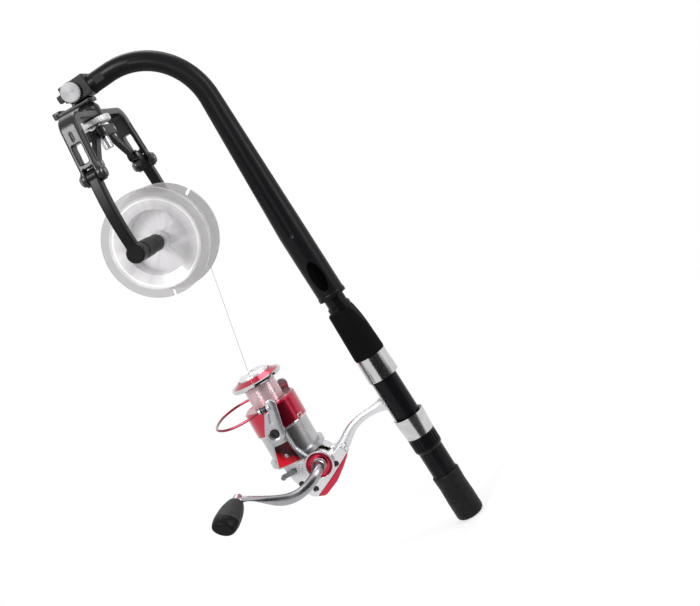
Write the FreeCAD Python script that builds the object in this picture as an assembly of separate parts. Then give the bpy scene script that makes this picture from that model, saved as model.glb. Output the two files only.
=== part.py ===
import FreeCAD, Part
import math
import os

# A hand-held fishing line winder with a spinning reel mounted on its handle.
# Row frame, millimetres: +Z runs up the handle axis from the middle of the butt end face,
# the curved arm and the reel hang on the -X side, and the reel's crank is on the -Y side.

V = FreeCAD.Vector
X_AXIS, Y_AXIS, Z_AXIS = V(1, 0, 0), V(0, 1, 0), V(0, 0, 1)
SIDES = (("front", -1), ("rear", 1))
RUN = 0.05            # radial running clearance of a shaft in its hole
GAP = 0.30            # gap between parts that pass each other

# --- handle -------------------------------------------------------------------------------
TUBE_R, TUBE_WALL = 8.0, 1.4
GRIP_R, GRIP_TOP, GRIP_FLOOR = 12.7, 45.0, 4.0
GRIP_WAIST = 0.5
SEAT_R, SEAT_BOTTOM, SEAT_TOP = 11.0, 45.0, 168.0
THREAD_R, THREAD_PITCH, THREAD_TOP = 11.35, 2.0, 84.0
NUT_R, NUT_BOTTOM, NUT_TOP = 12.9, 70.0, 85.8
HOOD_WALL = 0.9
REAR_HOOD = (86.0, 106.0, 12.9, 14.4)      # z low, z high, radius low, radius high
FRONT_HOOD = (146.0, 168.0, 14.4, 13.9)
HOOD_TRAVEL = 20.0
FORE_R_LOW, FORE_R_TOP, FORE_TOP = 14.2, 12.8, 214.0
FORE_BEVEL = ((13.5, 184.0), (12.0, 200.0), (8.8, 214.2))
SPIGOT_R, SPIGOT_BOTTOM, SPIGOT_TOP = 9.0, 212.0, 262.0
COLLAR_R, COLLAR_TOP = 10.4, 219.0

# --- curved arm ---------------------------------------------------------------------------
SOCKET_R, SOCKET_LIP_R = 12.1, 12.6
SOCKET_BOTTOM, SOCKET_TOP = 227.0, 272.0
ARM_TAPER_START, ARM_BEND_START = 290.0, 419.4
ARM_LEAN = 2.9                              # how far the arm leans to +X below the bend
ARM_BEND_R = 60.6
ARM_R_BEND, ARM_R_END, ARM_WALL = 8.95, 8.1, 1.6
ARM_END_X = -76.0
FLUTE_R, FLUTE_DEPTH, FLUTE_SWEEP = 7.0, 0.9, 72.0   # sweep: degrees of the bend
PANEL_X = -61.0
PANEL = (9.0, 8.0, 0.8)                     # recess near the head: length, height, depth

# --- tilting head -------------------------------------------------------------------------
TILT_X, TILT_Z = -90.8, 483.5
BLOCK_X = (-104.8, -75.0)
BLOCK_BELOW, BLOCK_ABOVE, BLOCK_HALF = 9.2, 8.6, 9.0
LUG_HALF, LUG_R = 4.4, 8.0
TILT_BOLT_R = 3.0
KNOB_R, KNOB_THICK = 8.3, 4.6

# Head frame: origin at the middle of the line spool, local Z up the swivel axis.
SPOOL_X, SPOOL_Z, HEAD_LEAN = -99.2, 344.0, 4.3
HEAD = FreeCAD.Placement(V(SPOOL_X, 0, SPOOL_Z), FreeCAD.Rotation(Y_AXIS, HEAD_LEAN))
TILT_LOCAL = HEAD.inverse().multVec(V(TILT_X, 0, TILT_Z))
PLATE_TOP = TILT_LOCAL.z - BLOCK_BELOW - 0.5
PLATE_THICK, PLATE_HALF = 3.2, 7.5
PLATE_X = (-25.0, 9.5)
TONGUE = (-28.0, -20.0, 6.4, 2.4)            # x from, x to, half width, height above the plate
HUB_TOP = PLATE_TOP - PLATE_THICK - GAP
HUB_R, HUB_BOTTOM = 9.6, 113.6
SWIVEL_R, SWIVEL_HEAD_R, SWIVEL_HEAD_Z = 4.0, 5.8, 119.0
PLUG_R, PLUG_TOP = 6.1, 117.6

# --- yoke and its screw mechanism ---------------------------------------------------------
BAR_BOTTOM, BAR_TOP = 113.6, 119.6
YOKE_HALF_X, YOKE_HALF_X_LOW = 7.6, 8.8
SHOULDER_Y, SHOULDER_DROP = 64.2, 13.0      # a leg's outer face where the shoulder curve ends
SHOULDER_R, SHOULDER_INNER_R = 14.0, 9.0
HINGE_Y, HINGE_Z, HINGE_R = 65.5, 67.6, 6.3
LEG_OUT_Y, LEG_THICK = 71.3, 11.0           # outer face at hinge height, thickness
WINDOW = (8.0, 16.0, 87.0)                  # width, height, middle z
KNUCKLE_HALF = 4.5
BOLT_R, BOLT_HEAD_R, BOLT_HEAD_T = 2.6, 5.2, 2.4
THUMB_R, THUMB_BOTTOM, THUMB_TOP = 13.5, 107.8, 113.0
SCREW_R, SCREW_BOTTOM, JOURNAL_R = 4.2, 86.5, 3.0
CROSS_Z, CROSS_HEIGHT, CROSS_HALF_X, CROSS_HALF_Y = 101.0, 8.5, 8.5, 17.0
CROSS_PIN_Y, LINK_PIN_R, LINK_HALF, LINK_EYE_R = 13.0, 1.8, 2.9, 3.6
CRANK_IN, CRANK_UP = 20.0, 8.0              # bell crank end, from the hinge
LINK_PLAY = 0.45                            # free play at the link's outer eye
LOWER_HALF_X, LOWER_TOP_T, LOWER_LOW_T, LOWER_BOW = 4.5, 10.0, 8.6, 5.0
BOSS_R, BOSS_Y = 7.7, (-72.0, -60.4)
PIN_R = 2.9
COLLAR_Y, CONE_Y, CONE_SPLIT = (-60.3, -57.2), (-57.0, -15.5), -34.0
CONE_R, NOSE_R = 7.2, 4.85

# --- line spool ---------------------------------------------------------------------------
SPOOL_R, SPOOL_HALF, FLANGE_T, RIM_W = 46.5, 19.0, 2.0, 8.0
DRUM_R, DRUM_WALL, WEB_T = 29.5, 1.6, 2.0
HUB_TUBE_R, SPOOL_BORE, HUB_TUBE_HALF = 8.0, 5.0, 9.2
FLANGE_DROP = 6.4                           # flange's inner face at the drum, below the rim face
LINE_FILL_R = 32.4
NOTCH_W, NOTCH_DEPTH = 3.0, 6.0

# --- reel ---------------------------------------------------------------------------------
# Reel frame: origin on the rotor axis, local Z up the rotor axis, local +X towards the handle.
REEL_X, REEL_Z, REEL_LEAN = -100.0, 150.0, 3.3
REEL = FreeCAD.Placement(V(REEL_X, 0, REEL_Z), FreeCAD.Rotation(Y_AXIS, REEL_LEAN))
FOOT_LOW, FOOT_HIGH, FOOT_T, FOOT_HALF_DEG = 95.0, 157.0, 2.2, 32.0
# Outline of the gear housing seen from the crank side, clockwise from the stem's underside.
HOUSING = ((44.5, -40.5), (33.0, -51.5), (21.5, -61.0), (6.0, -68.6), (-5.5, -64.5), (-10.5, -53.8),
           (-14.0, -40.0), (-15.5, -30.5), (-14.0, -27.6), (14.0, -27.6), (21.0, -34.0), (30.0, -36.5),
           (38.0, -33.5))
HOUSING_CORNER_R, HOUSING_CORNER_Z = 7.0, -38.0   # corners below this height are rounded
TRIM_ARC = ((47.0, -38.4), (24.0, -52.8), (-3.5, -67.5))   # front edge of the rear trim, three points
HOUSING_Y, COVER_Y = (-9.0, 12.5), (-12.5, -9.0)
GEAR_ROOM_R, GEAR_ROOM_Y = 11.4, (-9.0, 9.5)
CRANK_X, CRANK_Z = 15.0, -40.3
HUB_RING_R, HUB_RING_OUT = 13.4, -15.6
GEAR_R, GEAR_HALF, GEAR_TEETH, GEAR_SHAFT_R = 10.7, 3.0, 26, 3.0
# Stem sections in the row frame: x, z, half height, half thickness.
STEM = ((-74.0, 109.6, 5.6, 5.6), (-61.0, 111.5, 5.6, 4.8), (-48.0, 120.0, 4.6, 3.9),
        (-34.0, 123.6, 4.0, 3.4), (-22.0, 124.2, 4.4, 3.6), (-12.6, 124.4, 7.5, 5.2))
COVER_SCREWS = ((28.0, -46.5), (1.0, -59.0), (-8.0, -49.5))
PINION_R, PINION_TEETH, PINION_BOTTOM, PINION_TOP = 3.95, 5, -52.0, -1.5
MAIN_SHAFT_R, SHAFT_BOTTOM, SHAFT_TOP = 2.3, -47.0, 53.9
NECK_R, NECK_TOP = 12.5, -24.6
ROTOR_R, ROTOR_WALL, ROTOR_BOTTOM, ROTOR_TOP = 22.3, 1.4, -26.0, 2.6
RING_R, RING_TOP = 26.0, -22.0
ROTOR_ARM_R, ROTOR_ARM_T = 24.8, 3.2
ROTOR_ARM = ((-16.0, -26.0), (13.5, -26.0), (8.6, -14.0), (8.0, 5.7), (5.5, 12.0), (-5.5, 12.0), (-8.5, 5.7),
             (-9.5, -6.0))
COVER_PLATE = ((-14.2, -24.6), (7.6, -24.6), (5.6, -12.0), (5.0, -5.5), (-7.6, -5.5))
SKIRT_R, SKIRT_BOTTOM, SKIRT_TOP = 24.0, 3.0, 27.0
ARBOR_R, LIP_R, LIP_Z = 11.5, 23.5, 48.0
REEL_LINE_R = 14.6
DRAG_R, DRAG_Z, DRAG_TOP = 14.2, 53.6, 58.0
BAIL_Z, BAIL_Y, BAIL_T, BAIL_R = 5.7, 28.9, 2.6, 8.6
BAIL_HEAD, BAIL_HEAD_R = (9.0, 29.6), 5.2
ROLLER_Q, ROLLER_R, ROLLER_GROOVE, ROLLER_HALF = V(2.2, -30.2, 28.5), 3.3, 2.3, 2.6
WIRE_R = 1.15
WIRE = ((-3.0, -30.0, 28.0), (-24.0, -27.8, 25.6), (-37.0, -26.4, 26.3), (-45.6, -20.4, 27.7),
        (-50.4, -9.0, 28.2), (-51.6, 5.0, 28.6), (-48.4, 18.6, 29.2), (-40.0, 26.0, 29.9),
        (-26.0, 27.8, 30.4), (4.5, 30.2, 27.6))
CRANK_PATH = (V(15.0, -22.0, -40.3), V(13.6, -30.0, -41.6), V(7.0, -37.4, -44.8), V(-5.0, -42.4, -47.4),
              V(-24.4, -46.2, -41.8), V(-50.2, -50.0, -27.4))
CRANK_WIDE = (4.9, 4.8, 4.8, 4.9, 4.6, 3.9)
CRANK_THIN = (4.8, 4.4, 3.5, 3.0, 2.7, 2.4)
KNOB_AXIS = V(-0.24, -0.95, -0.17)
KNOB_SECTIONS = ((3.5, 6.6, 5.4), (8.0, 8.4, 6.2), (18.0, 10.6, 7.4), (27.0, 11.2, 8.0), (34.0, 10.6, 7.6),
                 (38.0, 9.2, 6.0))
LEVER_AXIS, LEVER_R = (-9.0, -36.0), 1.5
LINE_R = 0.2
LINE_BEND = 2.75
# Row frame: off the wound spool, round the line roller, in to the reel's winding.
LINE_ROUTE = (V(-66.7, 0, 337.8), V(-97.51, -33.06, 177.38), V(-96.64, -30.68, 175.10),
              V(-84.5, -6.4, 185.2))


# --- shape helpers ------------------------------------------------------------------------
def line(start, end):
    return Part.LineSegment(V(*start), V(*end)).toShape()


def rod(radius, start, end):
    start, end = V(*start), V(*end)
    return Part.makeCylinder(radius, (end - start).Length, start, end - start)


def circle(radius, centre, heading):
    return Part.Wire(Part.makeCircle(radius, centre, heading))


def ring(outer, inner, start, end):
    return rod(outer, start, end).cut(rod(inner, start, end))


def turned(points, centre=(0, 0, 0), axis=Z_AXIS):
    """Solid of revolution of a closed (radius, height) outline about an axis."""
    wire = Part.makePolygon([V(r, 0, z) for r, z in points] + [V(points[0][0], 0, points[0][1])])
    solid = Part.Face(wire).revolve(V(0, 0, 0), Z_AXIS, 360)
    solid = Part.Solid(solid) if solid.ShapeType == "Shell" else solid
    solid.Placement = FreeCAD.Placement(V(*centre), FreeCAD.Rotation(Z_AXIS, axis))
    return solid


def box(low, high):
    return Part.makeBox(high[0] - low[0], high[1] - low[1], high[2] - low[2], V(*low))


def plate(points, normal, low, high):
    """Prism of a flat outline: the two coordinates across the normal, between two heights."""
    place = {"x": lambda a, b: V(low, a, b), "y": lambda a, b: V(a, low, b),
             "z": lambda a, b: V(a, b, low)}[normal]
    along = {"x": X_AXIS, "y": Y_AXIS, "z": Z_AXIS}[normal]
    outline = [place(a, b) for a, b in points]
    return Part.Face(Part.makePolygon(outline + [outline[0]])).extrude(along * (high - low))


def rounded(shape, radius, keep):
    """Fillet the edges that the test keeps; a radius that cannot be rolled is left sharp."""
    edges = [edge for edge in shape.Edges if keep(edge)]
    try:
        return shape.makeFillet(radius, edges) if edges else shape
    except Part.OCCError:
        return shape


def along(axis):
    """Edge test: straight edges that run along an axis."""
    def test(edge):
        if not isinstance(edge.Curve, Part.Line):
            return False
        return abs(edge.tangentAt(edge.FirstParameter).dot(axis)) > 0.999
    return test


def swept(points, radius, bend):
    """Round bar along a polyline whose corners are arcs of the bend radius."""
    points = [V(*p) for p in points]
    edges, start = [], points[0]
    for before, corner, after in zip(points, points[1:], points[2:]):
        into, out = (corner - before).normalize(), (after - corner).normalize()
        turn = into.getAngle(out)
        reach = bend * math.tan(turn / 2)
        first, last = corner - into * reach, corner + out * reach
        inward = (out - into).normalize()
        middle = corner + inward * (bend / math.cos(turn / 2) - bend)
        edges += [line(start, first), Part.Arc(first, middle, last).toShape()]
        start = last
    edges.append(line(start, points[-1]))
    path = Part.Wire(edges)
    heading = (points[1] - points[0]).normalize()
    return path.makePipeShell([circle(radius, points[0], heading)], True, False)


def soft_face(corners):
    """Flat face inside a closed outline of (corner, radius), each radius a tangent arc."""
    edges, count = [], len(corners)
    ends = []
    for index, (corner, radius) in enumerate(corners):
        before, after = corners[index - 1][0], corners[(index + 1) % count][0]
        into, out = (corner - before).normalize(), (after - corner).normalize()
        turn = into.getAngle(out)
        reach = radius * math.tan(turn / 2)
        first, last = corner - into * reach, corner + out * reach
        ends.append((first, last))
        if radius:
            inward = (out - into).normalize()
            middle = corner + inward * (radius / math.cos(turn / 2) - radius)
            edges.append(Part.Arc(first, middle, last).toShape())
    edges += [line(ends[index - 1][1], ends[index][0]) for index in range(count)]
    return Part.Face(Part.Wire(Part.sortEdges(edges)[0]))


def fused(shapes):
    shapes = list(shapes)
    return shapes[0].multiFuse(shapes[1:]).removeSplitter() if len(shapes) > 1 else shapes[0]


def mirrored_y(shape):
    return shape.mirror(V(0, 0, 0), Y_AXIS)


def save(node, shape, frame=None):
    solid = shape.copy()
    if frame is not None:
        solid.transformShape(frame.toMatrix())
    count, volume = len(solid.Solids), solid.Volume
    if count == 0 or volume <= 0 or not solid.isValid():
        print("CHECK", node, "solids", count, "volume", round(volume, 1), "valid", solid.isValid())
    solid.exportStep("parts/" + node + ".step")
    BUILT[node] = solid
    print(f"{node:22s} solids {count:2d} volume {volume:10.1f}")


BUILT = {}
os.makedirs("parts", exist_ok=True)


# --- handle -------------------------------------------------------------------------------
def butt_grip():
    outline = [(0, 0), (GRIP_R - 3.4, 0), (GRIP_R - 1.6, 0.5), (GRIP_R - 0.5, 1.6), (GRIP_R, 3.4),
               (GRIP_R, 18), (GRIP_R - GRIP_WAIST, 32), (GRIP_R, GRIP_TOP - 1.2),
               (GRIP_R - 1.0, GRIP_TOP), (TUBE_R, GRIP_TOP), (TUBE_R, GRIP_FLOOR), (0, GRIP_FLOOR)]
    return turned(outline)


def reel_seat():
    outline = [(TUBE_R, SEAT_BOTTOM), (SEAT_R, SEAT_BOTTOM)]
    z = SEAT_BOTTOM + 1.0
    while z < THREAD_TOP:
        outline += [(SEAT_R, z), (THREAD_R, z + 0.4), (THREAD_R, z + 1.0), (SEAT_R, z + 1.4)]
        z += THREAD_PITCH
    outline += [(SEAT_R, SEAT_TOP), (TUBE_R, SEAT_TOP)]
    return turned(outline)


def foot_window(low, high, depth=20.0):
    """Wedge on the -X side where the reel's foot lies."""
    reach = depth * math.tan(math.radians(FOOT_HALF_DEG + 3))
    return plate([(0, 0), (-depth, -reach), (-depth, reach)], "z", low, high)


def hood(spec):
    low, high, r_low, r_high = spec
    return turned([(r_low - HOOD_WALL, low), (r_low, low), (r_high, high), (r_high - HOOD_WALL, high)])


def hood_liner(spec, lip):
    low, high, r_low, r_high = spec
    inner = SEAT_R + RUN if lip > 0 else SEAT_R
    if low < THREAD_TOP + HOOD_TRAVEL:
        inner = THREAD_R + RUN
    body = turned([(inner, low), (r_low - HOOD_WALL, low), (r_high - HOOD_WALL, high), (inner, high)])
    reach = (high - 12, high + 1) if lip > 0 else (low - 1, low + 12)
    return body.cut(foot_window(*reach))


def lock_nut():
    outer = turned([(THREAD_R + RUN, NUT_BOTTOM), (NUT_R - 1.4, NUT_BOTTOM), (NUT_R - 0.2, NUT_BOTTOM + 2),
                    (NUT_R, NUT_BOTTOM + 4), (NUT_R, NUT_TOP), (THREAD_R + RUN, NUT_TOP)])
    grooves = [rod(0.7, (NUT_R * math.cos(t), NUT_R * math.sin(t), NUT_BOTTOM + 4),
                   (NUT_R * math.cos(t), NUT_R * math.sin(t), NUT_TOP - 2))
               for t in [math.radians(15 * i) for i in range(24)]]
    return outer.cut(Part.makeCompound(grooves))


def fore_grip():
    body = turned([(TUBE_R, SEAT_TOP), (FORE_R_LOW - 0.5, SEAT_TOP), (FORE_R_LOW, SEAT_TOP + 1.5),
                   (FORE_R_TOP, FORE_TOP - 1.2), (FORE_R_TOP - 1.0, FORE_TOP),
                   (SPIGOT_R, FORE_TOP), (SPIGOT_R, SPIGOT_BOTTOM), (TUBE_R, SPIGOT_BOTTOM)])
    first, middle, last = [V(x, -30, z) for x, z in FORE_BEVEL]
    far = 40.0
    outer_high, outer_low = V(far, -30, last.z), V(far, -30, first.z)
    edges = [Part.Arc(first, middle, last).toShape(), line(last, outer_high),
             line(outer_high, outer_low), line(outer_low, first)]
    return body.cut(Part.Face(Part.Wire(edges)).extrude(Y_AXIS * 60))


def make_handle():
    tube = ring(TUBE_R, TUBE_R - TUBE_WALL, (0, 0, GRIP_FLOOR), (0, 0, SPIGOT_BOTTOM))
    spigot = ring(SPIGOT_R, TUBE_R - TUBE_WALL, (0, 0, SPIGOT_BOTTOM), (0, 0, SPIGOT_TOP))
    save("handle_tube", fused([tube, spigot]))
    save("butt_grip", butt_grip())
    save("reel_seat", reel_seat())
    save("front_hood", hood(FRONT_HOOD))
    save("front_hood_liner", hood_liner(FRONT_HOOD, -1))
    save("fore_grip", fore_grip())
    save("ferrule_collar", turned([(SPIGOT_R, FORE_TOP), (COLLAR_R, FORE_TOP), (COLLAR_R, COLLAR_TOP - 0.8),
                                   (COLLAR_R - 0.8, COLLAR_TOP), (SPIGOT_R, COLLAR_TOP)]))
    save("rear_hood", hood(REAR_HOOD))
    save("rear_hood_liner", hood_liner(REAR_HOOD, 1))
    save("lock_nut", lock_nut())


# --- curved arm ---------------------------------------------------------------------------
def arm_frame():
    """Start of the bend, its centre and its end, in the X-Z plane."""
    slope = math.atan2(ARM_LEAN, ARM_BEND_START - ARM_TAPER_START)
    start = V(ARM_LEAN, 0, ARM_BEND_START)
    centre = start + V(-math.cos(slope), 0, math.sin(slope)) * ARM_BEND_R
    return slope, start, centre, centre + V(0, 0, ARM_BEND_R)


def arm_core(r_socket, r_bend, r_end):
    """The arm's straight, bent and end stretches as one solid of the given radii."""
    slope, start, centre, end = arm_frame()
    base = V(0, 0, ARM_TAPER_START)
    low = rod(r_socket, (0, 0, SOCKET_TOP), (0, 0, ARM_TAPER_START))
    heading = V(math.sin(slope), 0, math.cos(slope))
    taper = Part.makeLoft([circle(r_socket, base, Z_AXIS), circle(r_bend, start, heading)], True, True)
    out = (start - centre).normalize()
    halfway = centre + (out + Z_AXIS).normalize() * ARM_BEND_R
    path = Part.Wire([Part.Arc(start, halfway, end).toShape()])
    bend = path.makePipeShell([circle(r_bend, start, heading), circle(r_end, end, X_AXIS * -1)], True, True)
    tip = rod(r_end, tuple(end), (ARM_END_X, 0, end.z))
    return fused([low, taper, bend, tip])


def flutes():
    """Long shallow grooves down both flat sides, and a short panel by the head."""
    slope, start, centre, end = arm_frame()
    cutters = []
    for side in (-1, 1):
        low = V(0, side * (SOCKET_R + FLUTE_R - FLUTE_DEPTH), ARM_TAPER_START)
        offset = V(0, side * (ARM_R_BEND + FLUTE_R - FLUTE_DEPTH), 0)
        high = start + offset
        cutters.append(Part.makeCylinder(FLUTE_R, (high - low).Length, low, high - low))
        section = Part.Face(circle(FLUTE_R, high, V(math.sin(slope), 0, math.cos(slope))))
        cutters.append(section.revolve(centre + offset, V(0, -1, 0), FLUTE_SWEEP))
        cutters.append(Part.makeSphere(FLUTE_R, low))
        length, depth = PANEL[0], PANEL[2]
        face, low_z, high_z = side * (ARM_R_END + 0.1), end.z - PANEL[1] / 2, end.z + PANEL[1] / 2
        near, far = sorted((face - side * depth, face + side * 4))
        cutters.append(box((PANEL_X - length, near, low_z), (PANEL_X, far, high_z)))
    return Part.makeCompound(cutters)


def head_block():
    low, high = TILT_Z - BLOCK_BELOW, TILT_Z + BLOCK_ABOVE
    body = box((TILT_X, -BLOCK_HALF, low), (BLOCK_X[1], BLOCK_HALF, high))
    nose = rod(BLOCK_BELOW, (TILT_X, -BLOCK_HALF, TILT_Z), (TILT_X, BLOCK_HALF, TILT_Z))
    top = box((BLOCK_X[0] + 5, -BLOCK_HALF, TILT_Z), (TILT_X + 1, BLOCK_HALF, high))
    cheek = box((BLOCK_X[0], -BLOCK_HALF, TILT_Z - 3), (TILT_X, BLOCK_HALF, high - 5))
    body = rounded(fused([body, nose, top, cheek]), 1.2, along(Y_AXIS))
    slot = box((BLOCK_X[0] - 1, -LUG_HALF - 0.1, low - 1),
               (TILT_X + 9.2, LUG_HALF + 0.1, TILT_Z + LUG_R + 0.6))
    bolt = rod(TILT_BOLT_R, (TILT_X, -BLOCK_HALF - 1, TILT_Z), (TILT_X, BLOCK_HALF + 1, TILT_Z))
    slope, start, centre, end = arm_frame()
    return body.cut(slot).cut(bolt).cut(rod(ARM_R_END, tuple(end), (ARM_END_X, 0, end.z)))


def make_arm():
    arm = arm_core(SOCKET_R, ARM_R_BEND, ARM_R_END).cut(flutes())
    arm = arm.cut(arm_core(SOCKET_R - ARM_WALL * 1.6, ARM_R_BEND - ARM_WALL, ARM_R_END - ARM_WALL))
    save("curved_arm", arm)
    bore = SPIGOT_R + RUN
    save("arm_socket", turned([(bore, SOCKET_BOTTOM), (SOCKET_LIP_R, SOCKET_BOTTOM),
                               (SOCKET_LIP_R, SOCKET_BOTTOM + 3), (SOCKET_R, SOCKET_BOTTOM + 4),
                               (SOCKET_R, SOCKET_TOP), (bore, SOCKET_TOP)]))
    save("head_block", head_block())
    face = -BLOCK_HALF - 0.2
    bolt = rod(TILT_BOLT_R, (TILT_X, face - KNOB_THICK + 1.6, TILT_Z), (TILT_X, BLOCK_HALF, TILT_Z))
    head = [(5.2 * math.cos(math.radians(60 * i)), 5.2 * math.sin(math.radians(60 * i))) for i in range(6)]
    head = plate([(TILT_X + a, TILT_Z + b) for a, b in head], "y", BLOCK_HALF, BLOCK_HALF + 2.6)
    save("tilt_bolt", fused([bolt, head]))
    knob = turned([(0, 0), (KNOB_R - 1.6, 0), (KNOB_R - 1.2, 0.8), (KNOB_R, 1.2), (KNOB_R, KNOB_THICK - 0.9),
                   (KNOB_R - 0.9, KNOB_THICK), (0, KNOB_THICK)], (TILT_X, face, TILT_Z), V(0, -1, 0))
    knurl = [rod(0.45, (TILT_X + KNOB_R * math.cos(t), face, TILT_Z + KNOB_R * math.sin(t)),
                 (TILT_X + KNOB_R * math.cos(t), face - KNOB_THICK, TILT_Z + KNOB_R * math.sin(t)))
             for t in [math.radians(12 * i) for i in range(30)]]
    bore = rod(TILT_BOLT_R + RUN, (TILT_X, face - KNOB_THICK + 1.5, TILT_Z), (TILT_X, face + 1, TILT_Z))
    save("tilt_knob", knob.cut(Part.makeCompound(knurl)).cut(bore))


# --- tilting and swivelling head, in the head frame ---------------------------------------
def tilt_bracket():
    lug = rod(LUG_R, (TILT_LOCAL.x, -LUG_HALF, TILT_LOCAL.z), (TILT_LOCAL.x, LUG_HALF, TILT_LOCAL.z))
    neck = box((TILT_LOCAL.x - 7.0, -LUG_HALF, PLATE_TOP - 1), (TILT_LOCAL.x + 7.0, LUG_HALF, TILT_LOCAL.z))
    foot = box((PLATE_X[0], -PLATE_HALF, PLATE_TOP - PLATE_THICK), (PLATE_X[1], PLATE_HALF, PLATE_TOP))
    from_x, to_x, half, height = TONGUE
    tongue = box((from_x, -half, PLATE_TOP - PLATE_THICK), (to_x, half, PLATE_TOP + height))
    body = fused([lug, neck, rounded(foot, 3.0, along(Z_AXIS)), rounded(tongue, 1.5, along(Z_AXIS))])
    body = body.cut(rod(TILT_BOLT_R + RUN, (TILT_LOCAL.x, -LUG_HALF - 1, TILT_LOCAL.z),
                        (TILT_LOCAL.x, LUG_HALF + 1, TILT_LOCAL.z)))
    return body.cut(rod(SWIVEL_R, (0, 0, PLATE_TOP - PLATE_THICK - 1), (0, 0, PLATE_TOP + 4)))


def leg_face_y(z):
    """Outer face of a yoke leg at a height."""
    corner = BAR_TOP - SHOULDER_DROP
    return SHOULDER_Y + (corner - z) * (LEG_OUT_Y - SHOULDER_Y) / (corner - HINGE_Z)


def yoke_half():
    """One half of the yoke's outline, extruded across: bar, shoulder and leg."""
    top_y, inner_y = leg_face_y(BAR_TOP), leg_face_y(BAR_BOTTOM) - LEG_THICK
    outline = [(V(0, 0, BAR_BOTTOM), 0), (V(0, 0, BAR_TOP), 0), (V(0, top_y, BAR_TOP), SHOULDER_R),
               (V(0, LEG_OUT_Y, HINGE_Z), 0), (V(0, LEG_OUT_Y - LEG_THICK, HINGE_Z), 0),
               (V(0, inner_y, BAR_BOTTOM), SHOULDER_INNER_R)]
    half = soft_face(outline).extrude(X_AXIS * (2 * YOKE_HALF_X))
    half.translate(V(-YOKE_HALF_X, 0, 0))
    return half


def yoke():
    half = yoke_half()
    half = rounded(half, 1.6, lambda e: abs(abs(e.CenterOfMass.x) - YOKE_HALF_X) < 0.01
                   and e.CenterOfMass.y > 14 and e.CenterOfMass.z > HINGE_Z + 6)
    barrel = rod(HINGE_R, (-YOKE_HALF_X_LOW, HINGE_Y, HINGE_Z), (YOKE_HALF_X_LOW, HINGE_Y, HINGE_Z))
    half = fused([half, barrel])
    width, height, middle = WINDOW
    window = box((-width / 2, 40, middle - height / 2), (width / 2, 80, middle + height / 2))
    half = half.cut(rounded(window, 1.2, along(Y_AXIS)))
    clear = KNUCKLE_HALF + 0.1
    slot = box((-clear, HINGE_Y - 16, HINGE_Z - 14), (clear, HINGE_Y + 16, HINGE_Z + HINGE_R + 1.2))
    half = half.cut(slot)
    for x in (-1, 1):                       # long shallow channels on the sides of each leg
        groove = rod(2.2, (x * (YOKE_HALF_X + 1.3), leg_face_y(BAR_TOP - 16) - LEG_THICK / 2, BAR_TOP - 16),
                     (x * (YOKE_HALF_X + 1.3), leg_face_y(HINGE_Z + 9) - LEG_THICK / 2, HINGE_Z + 9))
        half = half.cut(groove)
    crease_top, crease_end = BAR_TOP - 14, middle + height / 2 + 2.5
    half = half.cut(rod(1.0, (0, leg_face_y(crease_top) + 0.4, crease_top),
                        (0, leg_face_y(crease_end) + 0.4, crease_end)))
    hub = turned([(0, HUB_BOTTOM), (HUB_R, HUB_BOTTOM), (HUB_R, HUB_TOP - 4), (HUB_R - 2.2, HUB_TOP - 0.6),
                  (HUB_R - 2.8, HUB_TOP), (0, HUB_TOP)])
    body = fused([half, mirrored_y(half), hub])
    body = body.cut(rod(SWIVEL_R + RUN, (0, 0, SWIVEL_HEAD_Z), (0, 0, HUB_TOP + 1)))
    body = body.cut(rod(PLUG_R, (0, 0, HUB_BOTTOM - 1), (0, 0, SWIVEL_HEAD_Z + 1.6)))
    for side in (-1, 1):
        body = body.cut(rod(BOLT_R, (-20, side * HINGE_Y, HINGE_Z), (20, side * HINGE_Y, HINGE_Z)))
    return body


def hinge_bolt(side):
    """Round-headed bolt through both ears of a leg."""
    centre = (0, side * HINGE_Y, HINGE_Z)
    shank = rod(BOLT_R, (-YOKE_HALF_X_LOW - 2.6, *centre[1:]), (YOKE_HALF_X_LOW, *centre[1:]))
    head = turned([(0, 0), (BOLT_HEAD_R, 0), (BOLT_HEAD_R, 0.9), (BOLT_HEAD_R - 0.8, 1.9),
                   (BOLT_HEAD_R - 2.2, BOLT_HEAD_T), (0, BOLT_HEAD_T)],
                  (YOKE_HALF_X_LOW, *centre[1:]), X_AXIS)
    return fused([shank, head])


def hinge_nut(side):
    flats = [(4.6 * math.cos(math.radians(60 * i)), 4.6 * math.sin(math.radians(60 * i))) for i in range(6)]
    nut = plate([(side * HINGE_Y + a, HINGE_Z + b) for a, b in flats], "x",
                -YOKE_HALF_X_LOW - 2.4, -YOKE_HALF_X_LOW)
    return nut.cut(rod(BOLT_R, (-20, side * HINGE_Y, HINGE_Z), (20, side * HINGE_Y, HINGE_Z)))


def thumbwheel():
    low, high = THUMB_BOTTOM, THUMB_TOP
    wheel = turned([(SCREW_R, low), (THUMB_R - 0.8, low), (THUMB_R, low + 0.8), (THUMB_R, high - 0.8),
                    (THUMB_R - 0.8, high), (SCREW_R, high)])
    knurl = [rod(0.55, (THUMB_R * math.cos(t), THUMB_R * math.sin(t), low),
                 (THUMB_R * math.cos(t), THUMB_R * math.sin(t), high))
             for t in [math.radians(7.5 * i) for i in range(48)]]
    return wheel.cut(Part.makeCompound(knurl))


def screw_spindle():
    outline = [(0, SCREW_BOTTOM), (SCREW_R - 0.8, SCREW_BOTTOM), (SCREW_R, SCREW_BOTTOM + 0.8),
               (SCREW_R, HUB_BOTTOM - 0.2), (JOURNAL_R, HUB_BOTTOM - 0.2), (JOURNAL_R, PLUG_TOP - 0.3),
               (0, PLUG_TOP - 0.3)]
    slot = box((-6, -0.7, SCREW_BOTTOM - 1), (6, 0.7, SCREW_BOTTOM + 2.0))
    return turned(outline).cut(slot)


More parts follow.
